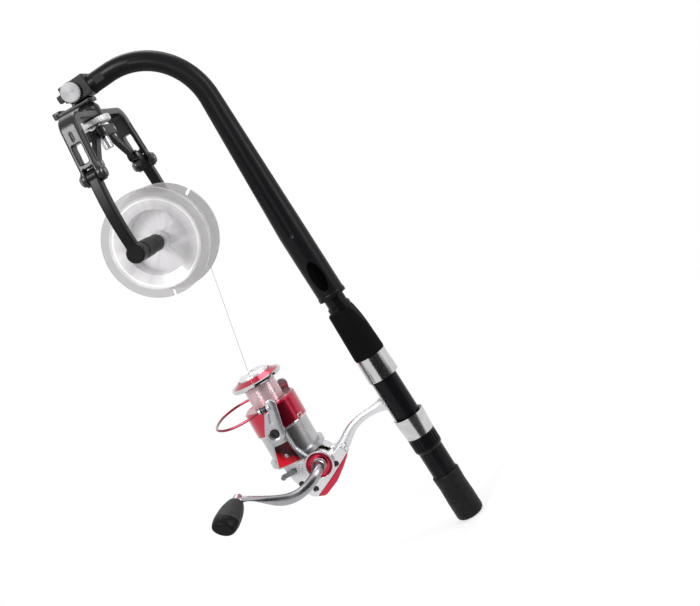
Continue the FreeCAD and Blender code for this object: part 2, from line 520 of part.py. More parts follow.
def crosshead():
    low, high = CROSS_Z - CROSS_HEIGHT / 2, CROSS_Z + CROSS_HEIGHT / 2
    body = box((-CROSS_HALF_X, -CROSS_HALF_Y, low), (CROSS_HALF_X, CROSS_HALF_Y, high))
    body = rounded(body, 2.6, along(Z_AXIS))
    for side in (-1, 1):
        y = sorted((side * (CROSS_PIN_Y - LINK_EYE_R - 0.8), side * (CROSS_HALF_Y + 2)))
        body = body.cut(box((-LINK_HALF - 0.1, y[0], low - 1), (LINK_HALF + 0.1, y[1], high + 1)))
        pin_y = side * CROSS_PIN_Y
        body = body.cut(rod(LINK_PIN_R, (-20, pin_y, CROSS_Z), (20, pin_y, CROSS_Z)))
    return body.cut(rod(SCREW_R + RUN, (0, 0, low - 1), (0, 0, high + 1)))


def link(side):
    inner = V(0, side * CROSS_PIN_Y, CROSS_Z)
    outer = V(0, side * (HINGE_Y - CRANK_IN), HINGE_Z + CRANK_UP)
    eyes = [rod(LINK_EYE_R, (-LINK_HALF, p.y, p.z), (LINK_HALF, p.y, p.z)) for p in (inner, outer)]
    across = (outer - inner).normalize().cross(X_AXIS) * (LINK_EYE_R - 0.6)
    corners = [inner + across, outer + across, outer - across, inner - across]
    bar = plate([(p.y, p.z) for p in corners], "x", -LINK_HALF + 0.5, LINK_HALF - 0.5)
    body = fused(eyes + [bar])
    body = body.cut(rod(LINK_PIN_R + RUN, (-9, inner.y, inner.z), (9, inner.y, inner.z)))
    return body.cut(rod(LINK_PIN_R + LINK_PLAY, (-9, outer.y, outer.z), (9, outer.y, outer.z)))


def lower_arm():
    """The front lower arm: knuckle, bell crank, bowed leg and boss."""
    hinge_y, foot_y = -HINGE_Y, (BOSS_Y[0] + BOSS_Y[1]) / 2
    knuckle = rod(HINGE_R - 0.3, (-KNUCKLE_HALF, hinge_y, HINGE_Z), (KNUCKLE_HALF, hinge_y, HINGE_Z))
    middle_y = (hinge_y + foot_y) / 2 - LOWER_BOW

    def side_line(sign):
        half_top, half_low = LOWER_TOP_T / 2 * sign, LOWER_LOW_T / 2 * sign
        return (V(0, hinge_y + half_top, HINGE_Z),
                V(0, middle_y + (half_top + half_low) / 2, HINGE_Z / 2), V(0, foot_y + half_low, 0))

    a, b, c = side_line(-1)
    d, e, f = side_line(1)
    leg = Part.Face(Part.Wire([Part.Arc(a, b, c).toShape(), line(c, f),
                               Part.Arc(f, e, d).toShape(), line(d, a)]))
    leg = leg.extrude(X_AXIS * (2 * LOWER_HALF_X))
    leg.translate(V(-LOWER_HALF_X, 0, 0))
    leg = rounded(leg, 1.4, lambda e: abs(abs(e.CenterOfMass.x) - LOWER_HALF_X) < 0.01
                  and 8 < e.CenterOfMass.z < 60)
    boss = rod(BOSS_R, (0, BOSS_Y[0], 0), (0, BOSS_Y[1], 0))
    boss = rounded(boss, 1.2, lambda e: abs(e.CenterOfMass.y - BOSS_Y[0]) < 0.01)
    tip = V(0, hinge_y + CRANK_IN, HINGE_Z + CRANK_UP)
    root = V(0, hinge_y, HINGE_Z)
    across = (tip - root).normalize().cross(X_AXIS) * 4.0
    crank_half = KNUCKLE_HALF
    bar = plate([(p.y, p.z) for p in (root + across, tip + across, tip - across, root - across)], "x",
                -crank_half, crank_half)
    eye = rod(4.0, (-crank_half, tip.y, tip.z), (crank_half, tip.y, tip.z))
    body = fused([knuckle, leg, boss, bar, eye])
    fork = LINK_EYE_R + 2.6
    slot = rod(fork, (-LINK_HALF - 0.15, tip.y, tip.z), (LINK_HALF + 0.15, tip.y, tip.z))
    body = body.cut(slot)
    body = body.cut(rod(LINK_PIN_R, (-9, tip.y, tip.z), (9, tip.y, tip.z)))
    body = body.cut(rod(BOLT_R + RUN, (-9, hinge_y, HINGE_Z), (9, hinge_y, HINGE_Z)))
    return body.cut(rod(PIN_R + RUN, (0, BOSS_Y[0] + 2.2, 0), (0, BOSS_Y[1] + 1, 0)))


def spool_cone():
    """Front cone: a stepped black sleeve with a blunt nose that centres the spool."""
    root, tip = CONE_Y
    mouth, split = -HUB_TUBE_HALF, CONE_SPLIT
    outline = [(PIN_R, root), (CONE_R - 0.4, root), (CONE_R + 0.5, root + 0.8), (CONE_R + 0.5, split - 0.8),
               (CONE_R - 0.3, split), (CONE_R - 0.9, split + 0.2), (CONE_R - 0.3, split + 1.0),
               (CONE_R, split + 2), (CONE_R, tip), (CONE_R - 0.8, tip + 1.2),
               (NOSE_R + 0.5, mouth - 0.15), (NOSE_R, mouth - 0.15), (2.2, mouth + 2.0),
               (0, mouth + 2.0), (0, tip - 8), (PIN_R, tip - 8)]
    return turned(outline, (0, 0, 0), Y_AXIS)


def make_head():
    save("tilt_bracket", tilt_bracket(), HEAD)
    head_low, head_high = SWIVEL_HEAD_Z - 1.2, SWIVEL_HEAD_Z + 1.4
    pin = turned([(0, head_low), (SWIVEL_HEAD_R, head_low), (SWIVEL_HEAD_R, head_high),
                  (SWIVEL_R, head_high), (SWIVEL_R, PLATE_TOP), (0, PLATE_TOP)])
    save("swivel_pin", pin, HEAD)
    save("yoke", yoke(), HEAD)
    save("hub_plug", ring(PLUG_R, JOURNAL_R + RUN, (0, 0, HUB_BOTTOM), (0, 0, PLUG_TOP)), HEAD)
    fasteners = [make(side) for side in (-1, 1) for make in (hinge_bolt, hinge_nut)]
    save("hinge_bolts", Part.makeCompound(fasteners), HEAD)
    save("thumbwheel", thumbwheel(), HEAD)
    save("screw_spindle", screw_spindle(), HEAD)
    save("crosshead", crosshead(), HEAD)
    cross_pins = [rod(LINK_PIN_R, (-CROSS_HALF_X, y, CROSS_Z), (CROSS_HALF_X, y, CROSS_Z))
                  for y in (-CROSS_PIN_Y, CROSS_PIN_Y)]
    save("crosshead_pins", Part.makeCompound(cross_pins), HEAD)
    arm, cone = lower_arm(), spool_cone()
    pin = rod(PIN_R, (0, BOSS_Y[0] + 2.4, 0), (0, CONE_Y[1] - 8, 0))
    low, high = COLLAR_Y
    collar = turned([(PIN_R + RUN, low), (6.9, low), (7.4, low + 0.5), (7.4, high - 0.5), (6.9, high),
                     (PIN_R + RUN, high)], (0, 0, 0), Y_AXIS)
    eye_y, eye_z = -HINGE_Y + CRANK_IN, HINGE_Z + CRANK_UP
    lug_pin = rod(LINK_PIN_R, (-KNUCKLE_HALF, eye_y, eye_z), (KNUCKLE_HALF, eye_y, eye_z))
    for name, side in SIDES:
        turn = (lambda s: s) if side < 0 else mirrored_y
        save(name + "_link", link(side), HEAD)
        save(name + "_arm", turn(arm), HEAD)
        save(name + "_arm_pin", turn(lug_pin), HEAD)
        save(name + "_bearing", turn(collar), HEAD)
        save(name + "_cone_pin", turn(pin), HEAD)
        save(name + "_cone", turn(cone), HEAD)


# --- line spool, in the head frame --------------------------------------------------------
def line_spool():
    half, rim = SPOOL_HALF, SPOOL_R - RIM_W
    web = WEB_T / 2
    well = DRUM_R - DRUM_WALL
    right = [(HUB_TUBE_R, web), (well - 1.1, web), (well, half - FLANGE_DROP + 2.0), (rim - 0.6, half - 0.9),
             (rim, half), (SPOOL_R - 0.6, half), (SPOOL_R, half - 0.6), (SPOOL_R, half - FLANGE_T - 0.6),
             (SPOOL_R - 0.6, half - FLANGE_T - 1.0), (rim + 1.0, half - FLANGE_T - 0.4),
             (DRUM_R, half - FLANGE_DROP)]
    left = [(r, -y) for r, y in reversed(right)]
    hub = [(HUB_TUBE_R, -HUB_TUBE_HALF), (SPOOL_BORE, -HUB_TUBE_HALF), (SPOOL_BORE, HUB_TUBE_HALF),
           (HUB_TUBE_R, HUB_TUBE_HALF)]
    body = turned(right + left + hub, (0, 0, 0), Y_AXIS)
    for side, degrees in ((-1, 262), (1, 35)):          # line-holding notch in each rim
        t = math.radians(degrees)
        x, z = math.cos(t), math.sin(t)
        reach, across = SPOOL_R + 2, NOTCH_W / 2
        inner = SPOOL_R - NOTCH_DEPTH
        y = sorted((side * (half - 4), side * (half + 1)))
        corners = [(out * x - sign * across * z, out * z + sign * across * x)
                   for out, sign in ((inner, 1), (reach, 1), (reach, -1), (inner, -1))]
        body = body.cut(plate(corners, "y", y[0], y[1]))
    return body


def spool_line():
    """Wound line: it fills the channel between the flanges up to the fill radius."""
    low, high = SPOOL_HALF - FLANGE_DROP - 0.2, SPOOL_HALF - FLANGE_DROP + 0.8
    return turned([(DRUM_R, -low), (LINE_FILL_R, -high), (LINE_FILL_R + 0.4, 0), (LINE_FILL_R, high),
                   (DRUM_R, low)], (0, 0, 0), Y_AXIS)


def make_spool():
    save("line_spool", line_spool(), HEAD)
    save("spool_line", spool_line(), HEAD)


# --- reel, in the reel frame --------------------------------------------------------------
def loft(sections):
    return Part.makeLoft(sections, True, False)


def oval(centre, heading, wide_axis, wide, thin):
    """Closed ellipse wire across a heading, its long radius along wide_axis."""
    heading = V(*heading).normalize()
    across = (V(*wide_axis) - heading * V(*wide_axis).dot(heading)).normalize()
    if wide < thin + 1e-6:
        return circle(wide, centre, heading)
    curve = Part.Ellipse(centre + across * wide, centre + heading.cross(across) * thin, centre)
    return Part.Wire(curve.toShape())


def housing_prism(low, high):
    outline = [V(x, low, z) for x, z in HOUSING]
    solid = Part.Face(Part.makePolygon(outline + [outline[0]])).extrude(Y_AXIS * (high - low))
    return rounded(solid, HOUSING_CORNER_R, lambda e: along(Y_AXIS)(e) and e.CenterOfMass.z < HOUSING_CORNER_Z)


def trim_band(low, high):
    """The housing behind a shallow arc: a crescent that is thickest in the middle."""
    top, middle, bottom = [V(x, low - 1, z) for x, z in TRIM_ARC]
    corner = V(top.x, low - 1, bottom.z - 10)
    edges = [Part.Arc(top, middle, bottom).toShape(), line(tuple(bottom), tuple(bottom - Z_AXIS * 10)),
             line(tuple(bottom - Z_AXIS * 10), tuple(corner)), line(tuple(corner), tuple(top))]
    behind = Part.Face(Part.Wire(edges)).extrude(Y_AXIS * (high - low + 2))
    return housing_prism(low, high).common(behind)


def stem_and_foot():
    """Stem from the housing to the curved foot, built in the row frame."""
    world = REEL.toMatrix()
    sections = []
    for index, (x, z, half_z, half_y) in enumerate(STEM):
        before, after = STEM[max(index - 1, 0)], STEM[min(index + 1, len(STEM) - 1)]
        heading = V(after[0] - before[0], 0, after[1] - before[1])
        if index == len(STEM) - 1:
            heading = X_AXIS
        sections.append(oval(V(x, 0, z), heading, Z_AXIS, half_z, half_y))
    stem = loft(sections)
    inner, outer = SEAT_R + 0.02, SEAT_R + FOOT_T
    foot = turned([(inner, FOOT_LOW), (SEAT_R + 1.3, FOOT_LOW), (outer, FOOT_LOW + 12),
                   (outer, FOOT_HIGH - 12), (outer - 0.4, FOOT_HIGH), (inner, FOOT_HIGH)])
    reach = 20 * math.tan(math.radians(FOOT_HALF_DEG))
    foot = foot.common(plate([(0, 0), (-20, -reach), (-20, reach)], "z", FOOT_LOW, FOOT_HIGH))
    both = fused([stem, foot]).cut(rod(inner, (0, 0, 80), (0, 0, 170)))
    both.transformShape(world.inverse())
    return both


def gear_room():
    room = rod(GEAR_ROOM_R, (CRANK_X, GEAR_ROOM_Y[0], CRANK_Z), (CRANK_X, GEAR_ROOM_Y[1], CRANK_Z))
    channel = rod(PINION_R + 0.9, (0, 0, -59), (0, 0, -31))
    opened = box((-PINION_R - 0.9, GEAR_ROOM_Y[0], -59), (PINION_R + 0.9, 0, -31))
    return fused([room, channel, opened])


def reel_body():
    trim_room = trim_band(HOUSING_Y[0] - 1, HOUSING_Y[1] + 1)
    body = housing_prism(*HOUSING_Y).cut(trim_room)
    body = rounded(body, 2.0, lambda e: abs(e.CenterOfMass.y - HOUSING_Y[1]) < 0.01 and e.Length > 4)
    bulge = rod(12.9, (CRANK_X, 0, CRANK_Z), (CRANK_X, 15.0, CRANK_Z))
    bulge = rounded(bulge, 2.0, lambda e: abs(e.CenterOfMass.y - 15.0) < 0.01)
    neck = rod(NECK_R, (0, 0, -38), (0, 0, NECK_TOP)).common(box((-20, HOUSING_Y[0], -40), (20, 20, -20)))
    body = fused([body, bulge, neck, stem_and_foot()]).cut(trim_room)
    body = body.cut(gear_room())
    body = body.cut(rod(PINION_R + RUN, (0, 0, -32), (0, 0, -20)))
    body = body.cut(rod(GEAR_SHAFT_R + RUN, (CRANK_X, 9, CRANK_Z), (CRANK_X, 13.2, CRANK_Z)))
    x, z = LEVER_AXIS
    body = body.cut(rod(LEVER_R + RUN, (x, 3.0, z), (x, -10, z)))
    return body.cut(Part.makeCompound([rod(1.2, (x, -9.5, z), (x, -3.0, z)) for x, z in COVER_SCREWS]))


def side_cover():
    cover = housing_prism(*COVER_Y).cut(trim_band(COVER_Y[0] - 1, COVER_Y[1] + 1))
    cover = rounded(cover, 1.6, lambda e: abs(e.CenterOfMass.y - COVER_Y[0]) < 0.01 and e.Length > 4)
    neck = rod(NECK_R, (0, 0, -38), (0, 0, NECK_TOP)).common(box((-20, -12.4, -40), (20, HOUSING_Y[0], -20)))
    neck = neck.cut(rod(PINION_R + 1.0, (0, 0, -40), (0, 0, -20)))
    boss = rod(HUB_RING_R, (CRANK_X, COVER_Y[1] - 1, CRANK_Z), (CRANK_X, HUB_RING_OUT, CRANK_Z))
    cover = fused([cover, boss, neck])
    dish_low, dish_high = HUB_RING_OUT - 1, COVER_Y[0] - 0.4
    dish = ring(HUB_RING_R - 2.0, 6.4, (CRANK_X, dish_low, CRANK_Z), (CRANK_X, dish_high, CRANK_Z))
    cover = cover.cut(dish)
    cover = cover.cut(rod(GEAR_SHAFT_R + RUN, (CRANK_X, -20, CRANK_Z), (CRANK_X, -5, CRANK_Z)))
    x, z = LEVER_AXIS
    cover = cover.cut(rod(LEVER_R + RUN, (x, -20, z), (x, -5, z)))
    for x, z in COVER_SCREWS:
        cover = cover.cut(rod(1.2, (x, -20, z), (x, -5, z))).cut(rod(2.3, (x, -14, z), (x, -11.4, z)))
    return cover


def body_screws():
    screws = []
    for x, z in COVER_SCREWS:
        screw = rod(1.2, (x, -11.4, z), (x, -3.2, z)).fuse(rod(2.3, (x, -12.7, z), (x, -11.4, z)))
        screws.append(screw.cut(box((x - 1.5, -13, z - 0.3), (x + 1.5, -12.2, z + 0.3))))
    return Part.makeCompound(screws)


def spur(centre, axis, radius, low, high, teeth, depth, root):
    """Toothed wheel: a disc with round tooth spaces."""
    across = Z_AXIS if axis == "y" else X_AXIS
    other = X_AXIS if axis == "y" else Y_AXIS
    heading = Y_AXIS if axis == "y" else Z_AXIS
    disc = rod(radius, tuple(centre + heading * low), tuple(centre + heading * high))
    cuts = []
    for index in range(teeth):
        t = 2 * math.pi * index / teeth
        spot = centre + (across * math.cos(t) + other * math.sin(t)) * (radius + root * 0.35)
        cuts.append(rod(depth, tuple(spot + heading * (low - 1)), tuple(spot + heading * (high + 1))))
    return disc.cut(Part.makeCompound(cuts))


def main_gear():
    centre = V(CRANK_X, 0, CRANK_Z)
    wheel = spur(centre, "y", GEAR_R, -GEAR_HALF, GEAR_HALF, GEAR_TEETH, 0.8, 0.8)
    shaft = rod(GEAR_SHAFT_R, (CRANK_X, -15.9, CRANK_Z), (CRANK_X, 13.0, CRANK_Z))
    hub = ring(5.4, GEAR_SHAFT_R, (CRANK_X, -8.6, CRANK_Z), (CRANK_X, 9.0, CRANK_Z))
    return fused([wheel, shaft, hub])


def pinion():
    worm = spur(V(0, 0, 0), "z", PINION_R, PINION_BOTTOM, -33.0, PINION_TEETH, 1.0, 0.9)
    tube = rod(PINION_R, (0, 0, -33.0), (0, 0, PINION_TOP))
    return fused([worm, tube]).cut(rod(MAIN_SHAFT_R + RUN, (0, 0, -60), (0, 0, 5)))


def rotor():
    inner = ROTOR_R - ROTOR_WALL
    cup = turned([(PINION_R, -7.5), (PINION_R, -16.0), (7.0, -16.0), (7.0, -10.0), (inner, -10.0),
                  (inner, ROTOR_BOTTOM), (RING_R, ROTOR_BOTTOM), (RING_R, RING_TOP),
                  (ROTOR_R, RING_TOP), (ROTOR_R, ROTOR_TOP), (ROTOR_R - 0.8, ROTOR_TOP + 0.8),
                  (ROTOR_R - 2.4, ROTOR_TOP + 0.8), (ROTOR_R - 2.4, -7.5)])
    arms = []
    shell = ring(ROTOR_ARM_R + ROTOR_ARM_T, ROTOR_ARM_R, (0, 0, ROTOR_BOTTOM), (0, 0, 16))
    for side in (-1, 1):
        mask = plate(ROTOR_ARM, "y", *sorted((side * 8, side * 40)))
        mask = rounded(mask, 3.0, lambda e: along(Y_AXIS)(e) and e.CenterOfMass.z > ROTOR_BOTTOM + 4)
        arm = shell.common(mask)
        boss = rod(5.4, (0, side * (ROTOR_ARM_R + 0.6), BAIL_Z), (0, side * (BAIL_Y - 0.1), BAIL_Z))
        arms += [arm, boss]
    body = fused([cup] + arms)
    for side in (-1, 1):
        body = body.cut(rod(1.6, (0, side * (ROTOR_ARM_R - 1), BAIL_Z), (0, side * 40, BAIL_Z)))
    return body


def rotor_covers():
    shell = ring(ROTOR_ARM_R + ROTOR_ARM_T + 0.5, ROTOR_ARM_R + ROTOR_ARM_T, (0, 0, -25), (0, 0, -5))
    parts = [shell.common(plate(COVER_PLATE, "y", *sorted((side * 8, side * 40)))) for side in (-1, 1)]
    return Part.makeCompound(parts)


def bail_arm(side):
    """Teardrop plate that swings on the rotor arm and carries one end of the bail."""
    near = side * BAIL_Y
    far = side * (BAIL_Y + BAIL_T)
    low, high = sorted((near, far))
    base = rod(BAIL_R, (0, low, BAIL_Z), (0, high, BAIL_Z))
    head = rod(BAIL_HEAD_R, (BAIL_HEAD[0], low, BAIL_HEAD[1]), (BAIL_HEAD[0], high, BAIL_HEAD[1]))
    root, tip = V(0, 0, BAIL_Z), V(BAIL_HEAD[0], 0, BAIL_HEAD[1])
    gap, drop = (tip - root).Length, BAIL_R - BAIL_HEAD_R
    lean = math.asin(drop / gap)
    ahead = (tip - root).normalize()
    normal = V(-ahead.z, 0, ahead.x)
    pts = []
    for sign in (1, -1):
        out = normal * (sign * math.cos(lean)) + ahead * math.sin(lean)
        pts += [(root + out * BAIL_R, tip + out * BAIL_HEAD_R)]
    quad = [pts[0][0], pts[0][1], pts[1][1], pts[1][0]]
    body = fused([base, head, plate([(p.x, p.z) for p in quad], "y", low, high)])
    body = rounded(body, 0.7, lambda e: abs(e.CenterOfMass.y - far) < 0.01)
    body = body.cut(rod(4.2, (0, far, BAIL_Z), (0, side * (BAIL_Y + 1.0), BAIL_Z)))
    return body.cut(rod(1.6 + RUN, (0, side * 20, BAIL_Z), (0, side * 40, BAIL_Z)))


def bail_arms():
    front, rear = bail_arm(-1), bail_arm(1)
    q, side_gap = ROLLER_Q, ROLLER_HALF + 0.1
    stub = rod(1.5, (BAIL_HEAD[0] - 3.0, q.y, q.z), (WIRE[0][0], q.y, q.z))
    shoulder = rod(2.6, (BAIL_HEAD[0] - 1.0, q.y, q.z), (q.x + side_gap, q.y, q.z))
    cap = rod(2.5, (q.x - side_gap, q.y, q.z), (WIRE[0][0], q.y, q.z))
    roller_room = rod(ROLLER_R + GAP, (q.x - side_gap, q.y, q.z), (q.x + side_gap, q.y, q.z))
    return fused([front.cut(roller_room), stub, shoulder, cap]), rear


def bail_screws():
    screws = []
    for side in (-1, 1):
        out = side * (BAIL_Y + 1.05)
        shank = rod(1.6, (0, side * (ROTOR_ARM_R - 0.1), BAIL_Z), (0, out, BAIL_Z))
        head = rod(3.9, (0, out, BAIL_Z), (0, side * (BAIL_Y + 2.4), BAIL_Z))
        near_y, far_y = sorted((side * (BAIL_Y + 1.7), side * 40))
        slot = box((-5, near_y, BAIL_Z - 0.5), (5, far_y, BAIL_Z + 0.5))
        screws.append(fused([shank, head]).cut(slot))
    return Part.makeCompound(screws)


def bail_wire():
    """Bent wire hoop from the roller's cap round to the far bail arm."""
    curve = Part.BSplineCurve()
    curve.interpolate([V(*p) for p in WIRE])
    path = Part.Wire(curve.toShape())
    heading = curve.tangent(curve.FirstParameter)[0]
    return path.makePipeShell([circle(WIRE_R, V(*WIRE[0]), heading)], True, False)


def reel_spool():
    inner = ROTOR_R + 0.6
    return turned([(MAIN_SHAFT_R + RUN, 23.0), (7.0, 23.0), (7.0, 25.0), (inner - 1.5, 25.0), (inner, 23.4),
                   (inner, SKIRT_BOTTOM), (SKIRT_R, SKIRT_BOTTOM), (SKIRT_R, SKIRT_TOP - 1.4),
                   (SKIRT_R - 1.4, SKIRT_TOP), (ARBOR_R, SKIRT_TOP), (ARBOR_R, 46.0), (LIP_R - 1.8, 46.6),
                   (LIP_R - 1.8, LIP_Z + 2.6), (DRAG_R + 1.6, DRAG_Z + 0.4), (DRAG_R + 0.6, DRAG_Z),
                   (DRAG_R + 0.6, 50.0), (6.0, 49.6), (6.0, 49.0), (MAIN_SHAFT_R + RUN, 49.0)])


def spool_lip():
    return turned([(LIP_R - 1.8, 46.6), (LIP_R - 0.5, 47.4), (LIP_R, 48.2), (LIP_R, 50.0),
                   (LIP_R - 0.6, 50.9), (LIP_R - 1.8, 50.6)])


def drag_knob():
    low = 50.3
    body = turned([(0, low), (DRAG_R, low), (DRAG_R, DRAG_Z + 1.4), (DRAG_R - 1.2, DRAG_TOP - 1.6),
                   (DRAG_R - 3.2, DRAG_TOP - 0.9), (DRAG_R - 4.0, DRAG_TOP - 1.5), (4.2, DRAG_TOP - 1.5),
                   (3.4, DRAG_TOP), (0, DRAG_TOP)])
    body = body.cut(rod(MAIN_SHAFT_R + RUN, (0, 0, 45), (0, 0, 54.05)))
    knurl = [rod(0.5, (DRAG_R * math.cos(t), DRAG_R * math.sin(t), DRAG_Z),
                 (DRAG_R * math.cos(t), DRAG_R * math.sin(t), DRAG_TOP))
             for t in [math.radians(12 * i) for i in range(30)]]
    return body.cut(Part.makeCompound(knurl))


def crank_arm():
    """Cranked arm: a round hub on the gear shaft that bends out and tapers to the knob's eye."""
    sections = []
    count = len(CRANK_PATH)
    for index, centre in enumerate(CRANK_PATH):
        before, after = CRANK_PATH[max(index - 1, 0)], CRANK_PATH[min(index + 1, count - 1)]
        heading = Y_AXIS * -1 if index == 0 else (after - before)
        sections.append(oval(centre, heading, Z_AXIS, CRANK_WIDE[index] + 0.001, CRANK_THIN[index]))
    arm = loft(sections)
    hub = turned([(0, 16.3), (6.2, 16.3), (6.2, 18.0), (5.0, 19.5), (5.0, 24.1), (0, 24.1)],
                 (CRANK_X, 0, CRANK_Z), Y_AXIS * -1)
    eye_at = CRANK_PATH[-1] + V(-1.2, 0, 1.0)
    axis = KNOB_AXIS.normalize()
    eye = rod(4.8, tuple(eye_at - axis * 3.0), tuple(eye_at + axis * 3.0))
    body = fused([arm, hub, eye])
    body = body.cut(rod(GEAR_SHAFT_R, (CRANK_X, -15.9, CRANK_Z), (CRANK_X, -10, CRANK_Z)))
    return body.cut(rod(1.6, tuple(eye_at - axis * 5.0), tuple(eye_at + axis * 5.0))), eye_at, axis


def crank_knob(eye_at, axis):
    sections = [oval(eye_at + axis * reach, axis, V(0.857, 0, -0.515), wide, thin)
                for reach, wide, thin in KNOB_SECTIONS]
    body = loft(sections)
    return body.cut(rod(1.6 + RUN, tuple(eye_at), tuple(eye_at + axis * 30)))


def crank_pin(eye_at, axis):
    pin = rod(1.6, tuple(eye_at - axis * 3.2), tuple(eye_at + axis * 29.5))
    cap = rod(3.6, tuple(eye_at - axis * 5.4), tuple(eye_at - axis * 3.0))
    cap = rounded(cap, 1.2, lambda e: (e.CenterOfMass - (eye_at - axis * 5.4)).Length < 0.05)
    return fused([pin, cap])


def anti_reverse_lever():
    x, z = LEVER_AXIS
    shaft = rod(LEVER_R, (x, 2.8, z), (x, -13.2, z))
    outline = [(x + 2.6, z - 2.0), (x + 2.6, z + 2.0), (x - 9.5, z + 1.6), (x - 10.5, z - 2.2)]
    arm = plate(outline, "y", -15.2, -12.9)
    tip = rod(2.2, (x - 9.6, -16.2, z - 0.6), (x - 9.6, -12.9, z - 0.6))
    return fused([shaft, arm, tip])


def line_roller():
    half, flat = ROLLER_HALF, 1.5
    return turned([(1.5 + RUN, -half), (ROLLER_R, -half), (ROLLER_GROOVE, -flat), (ROLLER_GROOVE, flat),
                   (ROLLER_R, half), (1.5 + RUN, half)], tuple(ROLLER_Q), X_AXIS)


def route_bends(points, bend):
    """Print the bend radii and lengths of a cord's route."""
    for before, corner, after in zip(points, points[1:], points[2:]):
        turn = (corner - before).getAngle(after - corner)
        print("route bend", round(bend, 2), "turn", round(math.degrees(turn), 1))


def make_reel():
    save("reel_body", reel_body(), REEL)
    save("side_cover", side_cover(), REEL)
    save("body_screws", body_screws(), REEL)
    save("rear_trim", trim_band(COVER_Y[0], HOUSING_Y[1]), REEL)
    save("main_gear", main_gear(), REEL)
    save("pinion_gear", pinion(), REEL)
    save("main_shaft", rod(MAIN_SHAFT_R, (0, 0, SHAFT_BOTTOM), (0, 0, SHAFT_TOP)), REEL)
    save("rotor", rotor(), REEL)
    save("rotor_covers", rotor_covers(), REEL)
    front, rear = bail_arms()
    save("bail_arm", front, REEL)
    save("bail_arm_rear", rear, REEL)
    save("bail_wire", bail_wire().cut(front).cut(rear), REEL)
    save("bail_screws", bail_screws(), REEL)
    save("line_roller", line_roller(), REEL)
    save("reel_spool", reel_spool(), REEL)
    save("spool_lip", spool_lip(), REEL)
    save("reel_spool_line", ring(REEL_LINE_R, ARBOR_R, (0, 0, SKIRT_TOP), (0, 0, 45.6)), REEL)
    save("drag_knob", drag_knob(), REEL)
    arm, eye_at, axis = crank_arm()
    save("crank_arm", Part.makeCompound([arm, crank_pin(eye_at, axis)]), REEL)
    save("crank_knob", crank_knob(eye_at, axis), REEL)
    save("anti_reverse_lever", anti_reverse_lever(), REEL)
    route_bends(LINE_ROUTE, LINE_BEND)
    save("fishing_line", swept(LINE_ROUTE, LINE_R, LINE_BEND))


if __name__ == "__main__":
    make_handle()
    make_arm()
    make_head()
    make_spool()
    make_reel()
    print(len(BUILT), "parts")
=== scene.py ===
# %% [markdown]
# # A fishing line winder, finished in Blender
# The object is a hand-held winder: a rod-like handle with a spinning reel in its seat, a curved arm that
# bends over the reel's side, and a swivel yoke that holds a clear filler spool between two black cones.
# Every rigid piece comes from the CAD model. Here they get their finishes, and the pieces whose look
# needs softer forms or finer relief than a plain solid has are modelled again round the same places.

# %% Load the frame
import math

import bmesh
import bpy
from mathutils import Matrix, Vector


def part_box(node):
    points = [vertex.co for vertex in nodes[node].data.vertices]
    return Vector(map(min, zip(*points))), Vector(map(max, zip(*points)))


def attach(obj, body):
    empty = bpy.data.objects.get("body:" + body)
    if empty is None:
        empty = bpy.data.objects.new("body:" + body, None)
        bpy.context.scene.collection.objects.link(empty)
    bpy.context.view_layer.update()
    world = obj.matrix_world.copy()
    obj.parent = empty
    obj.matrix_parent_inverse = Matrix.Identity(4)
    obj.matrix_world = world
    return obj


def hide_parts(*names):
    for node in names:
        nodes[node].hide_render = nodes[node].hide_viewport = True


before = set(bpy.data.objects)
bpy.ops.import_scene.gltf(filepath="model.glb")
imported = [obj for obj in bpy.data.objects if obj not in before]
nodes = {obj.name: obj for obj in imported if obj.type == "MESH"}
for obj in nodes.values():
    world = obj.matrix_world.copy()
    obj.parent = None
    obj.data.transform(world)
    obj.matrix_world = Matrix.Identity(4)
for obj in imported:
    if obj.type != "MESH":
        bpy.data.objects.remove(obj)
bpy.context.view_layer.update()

# %% [markdown]
# ## The camera
# The winder is seen from its crank side, slightly from above, with the picture turned so that the handle
# runs down to the right. A camera is set by three directions, right, up and back, which are the columns
# of its matrix. A lens of about 51 mm on a 36 mm sensor gives the mild perspective of a table-top shot.

# %% Camera
CAMERA_AT = Vector((0.1790, -0.8196, 0.3290))
CAMERA_RIGHT = Vector((0.8407, 0.0996, -0.5323))
CAMERA_UP = Vector((0.5029, 0.2210, 0.8356))
LENS_MM, SENSOR_MM = 51.43, 36.0

camera_data = bpy.data.cameras.new("camera")
camera_data.lens, camera_data.sensor_width = LENS_MM, SENSOR_MM
camera_data.clip_start, camera_data.clip_end = 0.01, 50
camera = bpy.data.objects.new("camera", camera_data)
bpy.context.scene.collection.objects.link(camera)
right = CAMERA_RIGHT.normalized()
back = right.cross(CAMERA_UP).normalized()
up = back.cross(right)
turn = Matrix((right, up, back)).transposed()
camera.matrix_world = Matrix.Translation(CAMERA_AT) @ turn.to_4x4()
bpy.context.scene.camera = camera
print("camera distance to the handle in m", round(CAMERA_AT.xy.length, 3))

# %% [markdown]
# ## The running line
# A single thin nylon line leaves the clear spool, runs straight down under tension, turns over the reel's
# line roller and goes in to the reel's spool. It could be a thin tube, but a curve with a bevel keeps one
# clean centreline. The control points are the line's own route, with one more point on each straight
# stretch close to the roller, so that the line stays straight until it meets it. Blender takes a point's
# radius as part of the curve's box, and a new point has a radius of a whole metre, so each point gets
# one millimetre, and the bevel depth is given in those millimetres.

# %% Running line
MM = 0.001

LINE_ROUTE_MM = ((-66.7, 0, 337.8), (-97.07, -32.58, 179.69), (-97.51, -33.06, 177.38),
                 (-96.64, -30.68, 175.10), (-95.63, -28.67, 175.94), (-84.5, -6.4, 185.2))
LINE_DIAMETER, LINE_LENGTH = 0.0004, 0.199

